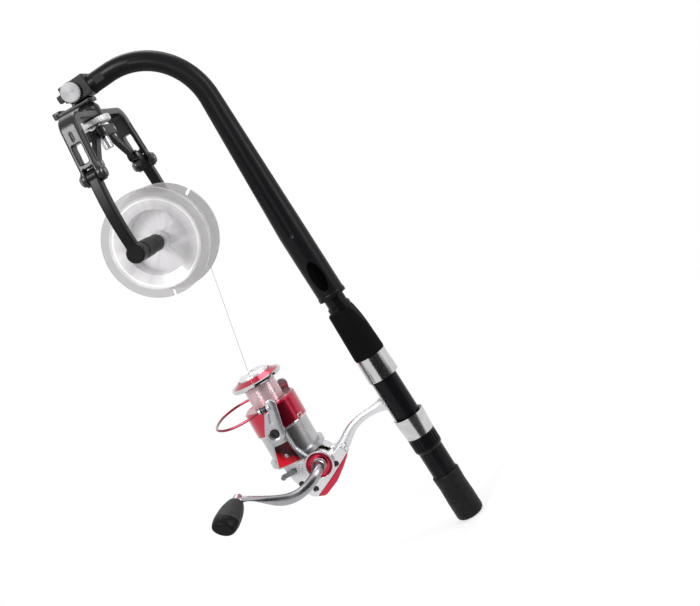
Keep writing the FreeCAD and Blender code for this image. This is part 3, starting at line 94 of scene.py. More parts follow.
line_curve = bpy.data.curves.new("running_line", "CURVE")
line_curve.dimensions = "3D"
line_curve.bevel_depth, line_curve.bevel_resolution = LINE_DIAMETER / 2 / MM, 3
line_curve.resolution_u = 24
line_curve.use_fill_caps = True
spline = line_curve.splines.new("NURBS")
spline.points.add(len(LINE_ROUTE_MM) - 1)
for point, place in zip(spline.points, LINE_ROUTE_MM):
    point.co = (*[value * MM for value in place], 1)
    point.radius = MM
spline.order_u = 3
spline.use_endpoint_u = True
running_line = bpy.data.objects.new("running_line", line_curve)
bpy.context.scene.collection.objects.link(running_line)
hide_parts("fishing_line")
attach(running_line, "handle")
print("line points", len(LINE_ROUTE_MM))

# %% [markdown]
# ## The studio
# The object stands in a white room: a pale floor and a white surround. Broad soft lamps give black
# plastic its long pale highlights, and they are what makes a dark shape readable at all. Rays from the
# camera, from gloss and through clear plastic see plain white, while the light that falls on the object
# stays at a plain level. The floor is mostly such a white too, but it keeps the object's shadow. Two of
# the lamps are seen by gloss alone: they lay a sheen on glossy faces and add nothing to matt ones.

# %% Studio
WHITE = (1, 1, 1, 1)
ROOM_LIGHT = 0.62


def add_node(tree, kind, settings=None, inputs=None):
    """Any node, from its type, its settings and the values or links of its sockets."""
    made = tree.nodes.new(kind)
    for key, value in (settings or {}).items():
        setattr(made, key, value)
    for key, value in (inputs or {}).items():
        if isinstance(value, bpy.types.NodeSocket):
            tree.links.new(value, made.inputs[key])
        else:
            made.inputs[key].default_value = value
    return made


world = bpy.data.worlds.new("studio")
bpy.context.scene.world = world
world.use_nodes = True
tree = world.node_tree
tree.nodes.clear()
path = add_node(tree, "ShaderNodeLightPath").outputs
seen = add_node(tree, "ShaderNodeMath", {"operation": "MAXIMUM"},
                {0: path["Is Camera Ray"], 1: path["Is Transmission Ray"]})
seen_or_gloss = add_node(tree, "ShaderNodeMath", {"operation": "MAXIMUM"},
                         {0: seen.outputs[0], 1: path["Is Glossy Ray"]})
room = add_node(tree, "ShaderNodeBackground", None, {"Color": WHITE, "Strength": ROOM_LIGHT})
backdrop = add_node(tree, "ShaderNodeBackground", None, {"Color": WHITE})
choose = add_node(tree, "ShaderNodeMixShader", None,
                  {"Fac": seen_or_gloss.outputs[0], 1: room.outputs[0], 2: backdrop.outputs[0]})
add_node(tree, "ShaderNodeOutputWorld", None, {"Surface": choose.outputs[0]})
bpy.context.scene.view_settings.view_transform = "Standard"


def lamp(name, place, target, size, power, gloss_only):
    data = bpy.data.lights.new(name, "AREA")
    data.shape, data.size, data.size_y = "RECTANGLE", size[0], size[1]
    data.energy = power
    made = bpy.data.objects.new(name, data)
    bpy.context.scene.collection.objects.link(made)
    made.location = place
    made.rotation_euler = (Vector(target) - Vector(place)).to_track_quat("-Z", "Y").to_euler()
    made.visible_diffuse = not gloss_only


MIDDLE, YOKE_LOW, YOKE_HIGH = (-0.05, 0.0, 0.28), (-0.10, -0.07, 0.42), (-0.10, -0.07, 0.45)
LAMPS = (
    # name, place, target, size, power in W, seen by gloss alone
    ("key", (-0.52, -1.05, 0.97), YOKE_LOW, (0.45, 0.45), 9.0, False),
    ("yoke_sheen", (-0.42, -0.87, 1.08), YOKE_HIGH, (0.24, 0.34), 3.6, True),
    ("block_sheen", (-0.46, -0.98, 0.70), YOKE_HIGH, (0.16, 0.12), 0.6, True),
    ("side", (0.95, -0.20, 0.60), MIDDLE, (0.35, 0.9), 6.0, False),
    ("top", (0.1, 0.55, 1.25), MIDDLE, (0.9, 0.5), 5.0, False),
)

for row in LAMPS:
    lamp(*row)
print("lamps", len(LAMPS))

# %% [markdown]
# ## Black flags
# Polished metal in an all-white room looks white. Photographers set black cards beside the lens, and a
# ring or a tube then shows a dark band down its middle that makes it read as metal. These cards are met
# by reflected rays only, so they throw no shadow and are seen only as reflections.

# %% Black flags
FLAGS = (
    # an upright card, then one that lies just above the floor
    ((-0.12, -0.50, 0.0), (0.95, -0.50, 0.0), (0.95, -0.50, 0.46), (-0.12, -0.50, 0.46)),
    ((-0.12, -0.50, 0.0005), (0.95, -0.50, 0.0005), (0.95, -0.12, 0.0005), (0.02, -0.12, 0.0005)),
)
FLAG_BLACK = (0.01, 0.01, 0.01, 1)


def flag(number, corners):
    mesh = bpy.data.meshes.new(f"black_flag_{number}")
    mesh.from_pydata(corners, [], [tuple(range(len(corners)))])
    card = bpy.data.objects.new(mesh.name, mesh)
    bpy.context.scene.collection.objects.link(card)
    card.visible_camera = card.visible_diffuse = card.visible_transmission = False
    card.visible_shadow = card.visible_volume_scatter = False
    black = bpy.data.materials.new(mesh.name)
    black.use_nodes = True
    shader = black.node_tree.nodes["Principled BSDF"]
    shader.inputs["Base Color"].default_value = FLAG_BLACK
    shader.inputs["Roughness"].default_value = 1
    mesh.materials.append(black)


for number, corners in enumerate(FLAGS):
    flag(number, corners)
print("flags", len(FLAGS))

# %% [markdown]
# ## Shader helpers
# A material is a small graph of nodes. Written node by node, a graph is long and hard to read, so one
# class holds a socket and lets plain arithmetic add the Math nodes, and one method makes any other node
# from its type, its settings and its inputs. It uses the function that made the studio's nodes.


# %% Shader helpers
class Value:
    """A node socket with arithmetic: each operator adds a Math node."""

    def __init__(self, finish, socket):
        self.finish, self.socket = finish, socket

    def math(self, operation, *others, clamp=False):
        settings = {"operation": operation, "use_clamp": clamp}
        return self.finish.node("ShaderNodeMath", settings, {i: v for i, v in enumerate((self, *others))})

    def __add__(self, other):
        return self.math("ADD", other)

    def __sub__(self, other):
        return self.math("SUBTRACT", other)

    def __rsub__(self, other):
        return (self * -1) + other

    def __mul__(self, other):
        return self.math("MULTIPLY", other)

    def __pow__(self, other):
        return self.math("POWER", other)

    def clamped(self):
        return self.math("ADD", 0, clamp=True)

    __radd__, __rmul__ = __add__, __mul__


class Finish:
    """A material under construction, with one Principled shader."""

    def __init__(self, name, colour, roughness, metallic=0.0, **fixed):
        self.material = bpy.data.materials.new(name)
        self.material.use_nodes = True
        self.tree = self.material.node_tree
        self.shader = self.tree.nodes["Principled BSDF"]
        self.set("Base Color", (*colour, 1))
        self.set("Roughness", roughness)
        self.set("Metallic", metallic)
        for socket, value in fixed.items():
            self.set(socket.replace("_", " "), value)
        self.material.diffuse_color = (*colour, 1)
        self.coordinates = self.node("ShaderNodeTexCoord", output="Object")

    def node(self, kind, settings=None, inputs=None, output=0):
        sockets = {key: value.socket if isinstance(value, Value) else value
                   for key, value in (inputs or {}).items()}
        return Value(self, add_node(self.tree, kind, settings, sockets).outputs[output])

    def set(self, socket, value):
        if isinstance(value, Value):
            self.tree.links.new(value.socket, self.shader.inputs[socket])
        else:
            self.shader.inputs[socket].default_value = value
        return self

    def noise(self, per_metre, detail=3.0, roughness=0.5, stretch=(1, 1, 1)):
        place = self.node("ShaderNodeMapping", None, {"Vector": self.coordinates, "Scale": stretch}, "Vector")
        return self.node("ShaderNodeTexNoise", None,
                         {"Vector": place, "Scale": per_metre, "Detail": detail, "Roughness": roughness})

    def mix(self, factor, first, second):
        colours = [one if isinstance(one, Value) else (*one, 1) for one in (first, second)]
        return self.node("ShaderNodeMix", {"data_type": "RGBA"}, {0: factor, 6: colours[0], 7: colours[1]}, 2)

    def bump(self, height, distance, strength=1.0):
        normal = self.node("ShaderNodeBump", None,
                           {"Height": height, "Distance": distance, "Strength": strength}, "Normal")
        return self.set("Normal", normal)


def spread(value, low, high):
    """Take a value that runs about 0.3 to 0.7, as noise does, to a range from low to high."""
    share = ((value - 0.3) * 2.5).clamped()
    return share * (high - low) + low


def from_axis(made, centre):
    """Distance from a line along Y through a centre, and the angle round it."""
    offset = made.node("ShaderNodeVectorMath", {"operation": "SUBTRACT"}, {0: made.coordinates, 1: centre},
                       "Vector")
    parts = [made.node("ShaderNodeSeparateXYZ", None, {0: offset}, side) for side in "XZ"]
    reach = (parts[0] * parts[0] + parts[1] * parts[1]) ** 0.5
    return reach, parts[1].math("ARCTAN2", parts[0])


def step_at(value, edge, blur):
    """0 below an edge and 1 above it, with a soft passage."""
    return ((value - (edge - blur / 2)) * (1 / blur)).clamped()


print("shader helpers ready")

# %% [markdown]
# ## The floor
# A floor is a plain sheet well below notice. Mixing a little of its lit surface into the white that the
# camera sees keeps a faint contact shadow under the handle without a grey horizon.

# %% Floor
FLOOR_SIZE, FLOOR_Z, FLOOR_LIT_SHARE = 14.0, -0.0006, 0.35
SHADOW_REACH = 0.45

bpy.ops.object.select_all(action="DESELECT")
bpy.ops.mesh.primitive_plane_add(size=FLOOR_SIZE, location=(0, 0, FLOOR_Z))
floor = bpy.context.object
floor.name = "floor"
paper = Finish("white_paper", (0.93, 0.93, 0.93), 0.9, Specular_IOR_Level=0.1)
glow = add_node(paper.tree, "ShaderNodeEmission", None, {"Color": WHITE})
path = add_node(paper.tree, "ShaderNodeLightPath").outputs
seen_rays = (Value(paper, path["Is Camera Ray"])
             .math("MAXIMUM", Value(paper, path["Is Glossy Ray"]))
             .math("MAXIMUM", Value(paper, path["Is Transmission Ray"])))
distance = paper.node("ShaderNodeVectorMath", {"operation": "LENGTH"}, {0: paper.coordinates}, "Value")
near = (1 - distance * (1 / SHADOW_REACH)).clamped()
glow_share = (seen_rays * (1 - near * FLOOR_LIT_SHARE)).socket
floor_mix = add_node(paper.tree, "ShaderNodeMixShader", None,
                     {"Fac": glow_share, 1: paper.shader.outputs[0], 2: glow.outputs[0]})
paper.tree.links.new(floor_mix.outputs[0], paper.tree.nodes["Material Output"].inputs["Surface"])
floor.data.materials.append(paper.material)
print("floor size in m", FLOOR_SIZE)

# %% [markdown]
# ## Black plastics and paint
# Nearly all of the winder is black, so its pieces are told apart by their gloss. Moulded nylon has a
# faint orange-peel surface and small scuffs, the painted arm is smoother under a clear coat, the reel
# seat is among the glossiest, the fore grip is a dull foam, and the butt grip is a soft satin.


# %% Black finishes
def moulded_black(name, colour, low, high, grain=0.00002, gloss=0.12):
    """Moulded plastic: cloudy gloss, a very fine grain and sparse light scuffs."""
    made = Finish(name, colour, low, Specular_IOR_Level=gloss)
    cloud = made.noise(45, 4)
    scuff = ((made.noise(900, 2, 0.6, (1, 1, 0.12)) - 0.66) * 6).clamped()
    made.set("Roughness", (spread(cloud, low, high) + scuff * 0.08).clamped())
    lighter = tuple(value * 2 + 0.006 for value in colour)
    made.set("Base Color", made.mix(scuff * 0.25, colour, lighter))
    return made.bump(made.noise(2600, 2), grain)


head_plastic = moulded_black("head_plastic", (0.007, 0.007, 0.008), 0.26, 0.38)
yoke_plastic = moulded_black("yoke_plastic", (0.007, 0.007, 0.008), 0.26, 0.34, 0.000004, 0.34)
cone_plastic = moulded_black("cone_plastic", (0.007, 0.007, 0.008), 0.34, 0.46)
seat_plastic = moulded_black("seat_plastic", (0.004, 0.004, 0.005), 0.18, 0.28, 0.00001)
fore_grip_foam = moulded_black("fore_grip_foam", (0.004, 0.004, 0.004), 0.55, 0.65, gloss=0.03)
plate_black = moulded_black("plate_black", (0.001, 0.001, 0.001), 0.30, 0.36, 0.000002, 0.02)
tube_plastic = moulded_black("tube_plastic", (0.004, 0.004, 0.005), 0.20, 0.30)
lever_plastic = moulded_black("lever_plastic", (0.16, 0.16, 0.17), 0.40, 0.50)


def painted_black():
    """Glossy black paint on the curved arm, a little uneven under a thin clear coat."""
    made = Finish("arm_paint", (0.006, 0.006, 0.007), 0.2, Coat_Weight=0.04, Coat_Roughness=0.2,
                  Specular_IOR_Level=0.08)
    made.set("Roughness", spread(made.noise(60, 3), 0.28, 0.40))
    peel = made.noise(420, 2)
    return made.bump(peel, 0.000012)


def grip_rubber():
    """Dense satin rubber with a fine pebble grain."""
    made = Finish("grip_rubber", (0.006, 0.006, 0.007), 0.45, Specular_IOR_Level=0.12)
    grain = made.node("ShaderNodeTexVoronoi", {"feature": "F1"},
                      {"Vector": made.coordinates, "Scale": 1500.0}, "Distance")
    made.set("Roughness", spread(made.noise(70, 4), 0.36, 0.52))
    made.set("Base Color", made.mix(spread(made.noise(240, 4), 0, 0.5), (0.005, 0.005, 0.006),
                                    (0.018, 0.018, 0.019)))
    return made.bump(grain, 0.00004)


PADDLE_START, PADDLE_HEADING = Vector((-0.1529, -0.050, 0.1264)), Vector((-0.241, -0.955, -0.171))
PADDLE_END_AT, PADDLE_JOINT_AT = 0.0275, 0.0272


def paddle_rubber():
    """Soft grey-black rubber on the paddle, with a glossier, blacker end beyond a fine joint."""
    made = Finish("paddle_rubber", (0.020, 0.020, 0.021), 0.4, Specular_IOR_Level=0.12)
    offset = made.node("ShaderNodeVectorMath", {"operation": "SUBTRACT"},
                       {0: made.coordinates, 1: PADDLE_START}, "Vector")
    along = made.node("ShaderNodeVectorMath", {"operation": "DOT_PRODUCT"},
                      {0: offset, 1: PADDLE_HEADING}, "Value")
    end = step_at(along, PADDLE_END_AT, 0.0008)
    joint = (1 - (along - PADDLE_JOINT_AT).math("ABSOLUTE") * 2500).clamped()
    body = made.mix(spread(made.noise(160, 4), 0, 1), (0.026, 0.026, 0.027), (0.040, 0.040, 0.041))
    made.set("Base Color", made.mix(joint * 0.5, made.mix(end, body, (0.003, 0.003, 0.003)),
                                    (0.09, 0.09, 0.09)))
    made.set("Roughness", 0.46 - end * 0.06)
    return made.bump(made.noise(1600, 2), 0.00001)


paddle_finish = paddle_rubber()
arm_paint = painted_black()
grip = grip_rubber()
block_paint = moulded_black("block_paint", (0.010, 0.010, 0.011), 0.26, 0.36)
bracket_paint = moulded_black("bracket_paint", (0.012, 0.012, 0.013), 0.28, 0.36, 0.000004, 0.25)
print("materials so far", len(bpy.data.materials))

# %% [markdown]
# ## Metals
# Turned metal reflects in short streaks round its axis, brushed sheet in streaks along one way, and plated
# parts are almost a mirror. The base colour is the metal's own reflection colour. Metallic is 1 on bare
# metal, about a half on the two gripped wheels, which need a pale body of their own, and a little under 1
# on silver lacquer and anodised red. The rotor's red plates and the tilt knob's face are made as paint,
# with metallic 0. Over bare metal the roughness varies, with a little of the colour and a very small bump.


# %% Metal finishes
def metal(name, colour, low, high, stretch=(1, 1, 1), relief=0.000004, per_metre=500, metallic=1.0):
    """Bare metal: streaks in the gloss, faint clouds in the colour and a very fine relief."""
    made = Finish(name, colour, low, metallic)
    streaks = made.noise(per_metre, 3, 0.6, stretch)
    made.set("Roughness", spread(streaks, low, high))
    darker = tuple(value * 0.82 for value in colour)
    made.set("Base Color", made.mix(spread(made.noise(160, 4), 0, 0.7), colour, darker))
    return made.bump(streaks, relief)


hood_metal = metal("hood_metal", (0.62, 0.61, 0.62), 0.12, 0.22, (1, 1, 9), 0.000002)
knob_metal = metal("knob_metal", (0.52, 0.52, 0.53), 0.38, 0.46, (1, 1, 1), 0.000001, 150)
cap_silver = metal("cap_silver", (0.74, 0.74, 0.76), 0.26, 0.34, (1, 1, 6), 0.000001, metallic=0.55)
thumb_metal = metal("thumb_metal", (0.60, 0.60, 0.61), 0.40, 0.48, (1, 1, 1), 0.000001, 150, 0.45)
bolt_steel = metal("bolt_steel", (0.34, 0.34, 0.36), 0.26, 0.34, (1, 1, 1), 0.000001, 150)
pin_steel = metal("pin_steel", (0.52, 0.52, 0.54), 0.20, 0.28, (1, 1, 6), 0.000001, 200)
dark_steel = metal("dark_steel", (0.045, 0.045, 0.05), 0.26, 0.38)
bolt_black = metal("bolt_black", (0.08, 0.08, 0.085), 0.30, 0.38, (1, 1, 1), 0.000001, 150)
gear_brass = metal("gear_brass", (0.30, 0.24, 0.13), 0.32, 0.45)
rotor_chrome = metal("rotor_chrome", (0.62, 0.62, 0.64), 0.06, 0.14, (1, 1, 6), 0.000001)
crank_metal = metal("crank_metal", (0.40, 0.40, 0.42), 0.25, 0.31, (1, 1, 1), 0.000001, 120)


def silver_paint(name, bright, dull):
    """Metallic silver lacquer: fine flakes under a clear coat."""
    made = Finish(name, bright, 0.3, 0.85, Coat_Weight=0.3, Coat_Roughness=0.08)
    flakes = made.node("ShaderNodeTexVoronoi", {"feature": "F1"},
                       {"Vector": made.coordinates, "Scale": 3800.0}, "Color")
    sparkle = made.node("ShaderNodeSeparateColor", None, {0: flakes})
    made.set("Roughness", sparkle * 0.08 + 0.22)
    made.set("Base Color", made.mix(sparkle * 0.2, bright, dull))
    return made


def red_anodised(name, deep, bright, metallic):
    """Candy red over bright metal, deeper where it turns away."""
    made = Finish(name, deep, 0.2, metallic, Coat_Weight=0.7, Coat_Roughness=0.05)
    edge = made.node("ShaderNodeLayerWeight", None, {"Blend": 0.35}, "Facing")
    made.set("Base Color", made.mix(edge, bright, deep))
    made.set("Roughness", spread(made.noise(120, 3, 0.5, (1, 1, 5)), 0.18, 0.24))
    return made


def turned_face(name, colour, centre):
    """A faced-off knob: fine rings round an axis along Y and a soft painted fan of light across them."""
    made = Finish(name, colour, 0.5, 0.0, Specular_IOR_Level=0.15)
    reach, angle = from_axis(made, centre)
    rings = (reach * 9000).math("SINE") * 0.5 + 0.5
    # painted reflection: the face is darker in two opposite sectors and lighter between them
    painted_fan = (angle * 2).math("COSINE") * 0.5 + 0.5
    darker = tuple(value * 0.62 for value in colour)
    made.set("Base Color", made.mix(painted_fan * 0.6 + rings * 0.2, colour, darker))
    made.set("Roughness", rings * 0.1 + 0.48)
    return made.bump(rings, 0.00001)


silver = silver_paint("silver_paint", (0.70, 0.70, 0.72), (0.52, 0.52, 0.55))
# the body's silver lacquer again, darker for the bail arms: painted shade
bail_silver_painted_shade = silver_paint("bail_silver_painted_shade", (0.44, 0.44, 0.46), (0.34, 0.34, 0.36))
red_metal = red_anodised("red_metal", (0.26, 0.001, 0.016), (0.58, 0.010, 0.050), 0.95)
wire_red = red_anodised("wire_red", (0.11, 0.000, 0.008), (0.28, 0.004, 0.028), 0.9)

SHADE_LEAN = 0.9


def red_with_painted_shade(name, bright, top, height):
    """Lacquered red under a hard gloss, with painted shade: black up the rotor's side, on a slant."""
    made = Finish(name, bright, 0.22, 0.0, Coat_Weight=0.08, Coat_Roughness=0.06,
                  Specular_IOR_Level=0.15)
    rise = made.node("ShaderNodeSeparateXYZ", None, {0: made.coordinates}, "Z")
    across = made.node("ShaderNodeSeparateXYZ", None, {0: made.coordinates}, "X")
    # painted shade: red at the foot, near black higher up, on a slant
    painted_shade = step_at(rise + across * SHADE_LEAN, top, height)
    cloud = spread(made.noise(120, 3), -0.08, 0.08)
    made.set("Base Color", made.mix((painted_shade + cloud).clamped(), bright, (0.012, 0.0, 0.001)))
    return made.set("Roughness", spread(made.noise(90, 3), 0.16, 0.26))


plate_red = red_with_painted_shade("plate_red", (0.56, 0.004, 0.018), 0.0385, 0.011)
tilt_face = turned_face("tilt_face", (0.52, 0.52, 0.53), (-0.0908, 0, 0.4835))
satin_silver = metal("satin_silver", (0.50, 0.50, 0.51), 0.26, 0.36, (1, 1, 6), 0.000001)
print("materials so far", len(bpy.data.materials))

# %% [markdown]
# ## Clear plastic and nylon line
# The filler spool is clear polystyrene. From the front it is almost invisible, and its edges look white,
# because there the eye looks along the plastic. A facing factor on the alpha gives this without the noise
# and the dark edges of many refracting layers. Wound nylon is paler and milky, with a fine ridge per turn.


# %% Clear finishes
SPOOL_CENTRE = (-0.0992, 0, 0.3440)
DISH_RADIUS, RIM_RADIUS = 0.0365, 0.0390


def clear_plastic():
    """Clear polystyrene: a milky dish in the middle, a greyer rim, turned rings and a few flow lines."""
    made = Finish("clear_plastic", (0.80, 0.79, 0.80), 0.10, Coat_Weight=0.1, Coat_Roughness=0.10)
    edge = made.node("ShaderNodeLayerWeight", None, {"Blend": 0.30}, "Facing")
    reach, angle = from_axis(made, SPOOL_CENTRE)
    rim = step_at(reach, RIM_RADIUS, 0.0012)
    # painted highlight: a white, more opaque line round the dish's edge
    dish_edge_highlight = (1 - ((reach - DISH_RADIUS).math("ABSOLUTE") * 900)).clamped()
    rings = (reach * 5200).math("SINE") * 0.5 + 0.5
    turn = made.node("ShaderNodeCombineXYZ", None, {0: angle.math("SINE"), 1: angle.math("COSINE")}, "Vector")
    wedges = made.node("ShaderNodeTexNoise", None, {"Vector": turn, "Scale": 2.2, "Detail": 2.0})
    flow = spread(wedges, 0, 1)
    dish = made.mix(flow, (0.70, 0.68, 0.70), (0.92, 0.91, 0.92))
    ring_grey = made.mix(rings * 0.5 + edge * 0.4, (0.36, 0.35, 0.35), (0.66, 0.65, 0.65))
    zones = made.mix(rim, dish, ring_grey)
    made.set("Base Color", made.mix(dish_edge_highlight, zones, (1, 1, 1)))
    cover = 0.60 - rim * 0.12 + flow * 0.10 + edge * 0.35 + dish_edge_highlight * 0.3
    made.set("Alpha", cover.clamped())
    made.set("Roughness", spread(made.noise(60, 3), 0.16, 0.26))
    made.material.surface_render_method = "BLENDED"
    return made.bump(rings, 0.00002)


def wound_nylon(name, colour, shade, alpha, **fixed):
    """Wound nylon: milky and glossy, with long soft streaks where the turns cross."""
    made = Finish(name, colour, 0.24, **fixed)
    strand = made.noise(110, 3, 0.5, (0.6, 1, 0.6))
    made.set("Base Color", made.mix(spread(strand, 0, 1), colour, shade))
    made.set("Alpha", alpha)
    return made.bump(made.noise(900, 2), 0.00001)


clear = clear_plastic()
filler_nylon = wound_nylon("filler_nylon", (0.84, 0.83, 0.84), (0.66, 0.65, 0.66), 0.85)
reel_nylon = wound_nylon("reel_nylon", (0.72, 0.60, 0.62), (0.50, 0.34, 0.37), 1.0, Metallic=0.45)
line_nylon = Finish("line_nylon", (0.30, 0.30, 0.31), 0.3)
running_line.data.materials.append(line_nylon.material)
print("materials so far", len(bpy.data.materials))

# %% [markdown]
# ## Finishes on the CAD pieces
# Each CAD piece whose form is already right keeps its own mesh and only takes a finish. One table names
# the pieces of each finish.

# %% Dress the CAD pieces
DRESSED = (
    (grip, ("butt_grip",)),
    (tube_plastic, ("handle_tube",)),
    (seat_plastic, ("reel_seat", "front_hood_liner", "rear_hood_liner", "lock_nut", "ferrule_collar")),
    (fore_grip_foam, ("fore_grip",)),
    (hood_metal, ("front_hood", "rear_hood")),
    (arm_paint, ("curved_arm", "arm_socket")),
    (block_paint, ("head_block", "tilt_bracket")),
    (tilt_face, ("tilt_knob",)),
    (knob_metal, ("thumbwheel", "drag_knob")),
    (bolt_steel, ("tilt_bolt", "hinge_bolts", "crosshead_pins", "front_arm_pin", "rear_arm_pin")),
    (pin_steel, ("swivel_pin", "screw_spindle", "front_cone_pin", "rear_cone_pin", "main_shaft")),
    (head_plastic, ("yoke", "hub_plug", "crosshead", "front_link", "rear_link", "front_arm", "rear_arm")),
    (cone_plastic, ("front_cone", "rear_cone", "front_bearing", "rear_bearing", "crank_knob")),
    (clear, ("line_spool",)),
    (filler_nylon, ("spool_line",)),
    (silver, ("reel_body", "side_cover")),
    (bail_silver_painted_shade, ("bail_arm", "bail_arm_rear")),
    (dark_steel, ("body_screws", "bail_screws", "line_roller")),
    (red_metal, ("rear_trim", "reel_spool")),
    (wire_red, ("bail_wire",)),
    (plate_red, ("rotor_covers",)),
    (gear_brass, ("main_gear", "pinion_gear")),
    (satin_silver, ("rotor",)),
    (rotor_chrome, ("spool_lip",)),
    (reel_nylon, ("reel_spool_line",)),
    (crank_metal, ("crank_arm",)),
    (lever_plastic, ("anti_reverse_lever",)),
)


def dress(made, finish):
    made.data.materials.clear()
    made.data.materials.append(finish.material)


for finish, names in DRESSED:
    for name in names:
        dress(nodes[name], finish)
print("dressed", sum(len(names) for _, names in DRESSED), "of", len(nodes))

# %% [markdown]
# ## Modelling helpers
# The modelled pieces are drawn in two handy frames: the reel's, whose Z runs up the rotor axis, and the
# head's, whose origin is the middle of the clear spool. A piece is moved into place by transforming its
# mesh, so that its object stays at the origin. A turned piece is a row of rings joined by faces.


# %% Modelling helpers
REEL = Matrix.Translation((-0.100, 0, 0.150)) @ Matrix.Rotation(math.radians(3.3), 4, "Y")
HEAD = Matrix.Translation((-0.0992, 0, 0.3440)) @ Matrix.Rotation(math.radians(4.3), 4, "Y")


def deselect_all():
    bpy.ops.object.select_all(action="DESELECT")


def activate(made):
    deselect_all()
    made.select_set(True)
    bpy.context.view_layer.objects.active = made


def new_piece(name, mesh, finish, body, slot, *replaced):
    """An object for a mesh, with its finish, the body it rides on and what it stands for. Slot is unused."""
    made = bpy.data.objects.new(name, mesh)
    bpy.context.scene.collection.objects.link(made)
    dress(made, finish)
    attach(made, body)
    if replaced:
        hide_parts(*replaced)
    return made


def join_rows(work, rows, closed=False):
    """Join each ring of points to the next by faces, and the last to the first when closed."""
    for low, high in list(zip(rows, rows[1:])) + ([(rows[-1], rows[0])] if closed else []):
        for step in range(len(low)):
            after = (step + 1) % len(low)
            work.faces.new((low[step], low[after], high[after], high[step]))


def smooth_faces(mesh):
    for face in mesh.polygons:
        face.use_smooth = True


def turned_mesh(name, rings, segments=96, place=None, closed=True, ripple=None):
    """A body of revolution about local Z from (radius, height) rings in mm; ripple(ring, angle) adds
    to a ring's radius."""
    work = bmesh.new()
    rows = []
    for number, (radius, height) in enumerate(rings):
        row = []
        for step in range(segments):
            angle = 2 * math.pi * step / segments
            reach = (radius + (ripple(number, angle) if ripple else 0)) * MM
            row.append(work.verts.new((reach * math.cos(angle), reach * math.sin(angle), height * MM)))
        rows.append(row)
    join_rows(work, rows, closed)
    if not closed:
        work.faces.new(list(reversed(rows[0])))
        work.faces.new(rows[-1])
    bmesh.ops.recalc_face_normals(work, faces=work.faces)
    mesh = bpy.data.meshes.new(name)
    work.to_mesh(mesh)
    work.free()
    smooth_faces(mesh)
    if place:
        mesh.transform(place)
    return mesh


def apply_modifiers(made):
    activate(made)
    for modifier in list(made.modifiers):
        bpy.ops.object.modifier_apply(modifier=modifier.name)


def smooth_edges(made, degrees=40):
    activate(made)
    bpy.ops.object.shade_smooth_by_angle(angle=math.radians(degrees))


def second_finish(made, finish, chosen):
    """Give a second finish to the faces that chosen(face) picks."""
    made.data.materials.append(finish.material)
    for face in made.data.polygons:
        if chosen(face):
            face.material_index = 1


def at_mm(home, x, y, z):
    """A place given in mm in the reel's or the head's frame."""
    return home @ Matrix.Translation(Vector((x, y, z)) * MM)


print("reel frame origin in mm", [round(value / MM, 1) for value in REEL.translation])

# %% [markdown]
# ## Softened castings
# A die casting has no knife edges: every corner is rolled over, and a stem flows into its housing. The CAD
# solids meet at sharp corners. A copy of such a piece is welded, remeshed into small even voxels and
# smoothed, which rounds all its edges by about a voxel's width and blends its joins.

# %% Softened castings
SOFTENED = (
    # name, CAD node, voxel in mm, smoothing rounds, body, slot, finish
    ("reel_casting", "reel_body", 0.60, 8, "handle", "reel_silver", silver),
    ("side_plate", "side_cover", 0.45, 4, "handle", "reel_silver", silver),
    ("rear_shell", "rear_trim", 0.45, 4, "handle", "reel_red", red_metal),
    ("yoke_moulding", "yoke", 0.55, 12, "yoke", "head_black", yoke_plastic),
    ("block_casting", "head_block", 0.45, 8, "curved_arm", "block_black", block_paint),
    ("bracket_casting", "tilt_bracket", 0.45, 5, "tilt_bracket", "block_black", bracket_paint),
    ("crosshead_moulding", "crosshead", 0.40, 5, "crosshead", "head_black", head_plastic),
    ("front_lever", "front_arm", 0.45, 5, "front_arm", "head_black", head_plastic),
    ("rear_lever", "rear_arm", 0.45, 5, "rear_arm", "head_black", head_plastic),
    ("crank_forging", "crank_arm", 0.40, 12, "crank", "crank_dark", crank_metal),
    ("paddle", "crank_knob", 0.50, 6, "crank_knob", "paddle_black", paddle_finish),
    ("bail_side_arm", "bail_arm", 0.30, 5, "bail", "reel_silver", bail_silver_painted_shade),
    ("bail_far_arm", "bail_arm_rear", 0.30, 5, "bail", "reel_silver", bail_silver_painted_shade),
)

WELD_MM, RELAX_SHARE = 0.002, 0.5


def softened(name, node, voxel_mm, rounds, body, slot, finish):
    mesh = nodes[node].data.copy()
    work = bmesh.new()
    work.from_mesh(mesh)
    bmesh.ops.remove_doubles(work, verts=work.verts, dist=WELD_MM * MM)
    work.to_mesh(mesh)
    work.free()
    made = new_piece(name, mesh, finish, body, slot, node)
    remesh = made.modifiers.new("remesh", "REMESH")
    remesh.mode, remesh.voxel_size = "VOXEL", voxel_mm * MM
    relax = made.modifiers.new("relax", "SMOOTH")
    relax.factor, relax.iterations = RELAX_SHARE, rounds
    apply_modifiers(made)
    smooth_faces(made.data)
    return made


castings = {row[0]: softened(*row) for row in SOFTENED}
for name, made in castings.items():
    print(name, "triangles", sum(len(face.vertices) - 2 for face in made.data.polygons))

# %% [markdown]
# ## Screws with hexagon sockets
# One turned profile makes any round screw head. Its last rings follow a hexagon instead of a circle: the
# distance to a flat side changes with the angle as one over a cosine, and that makes the socket.

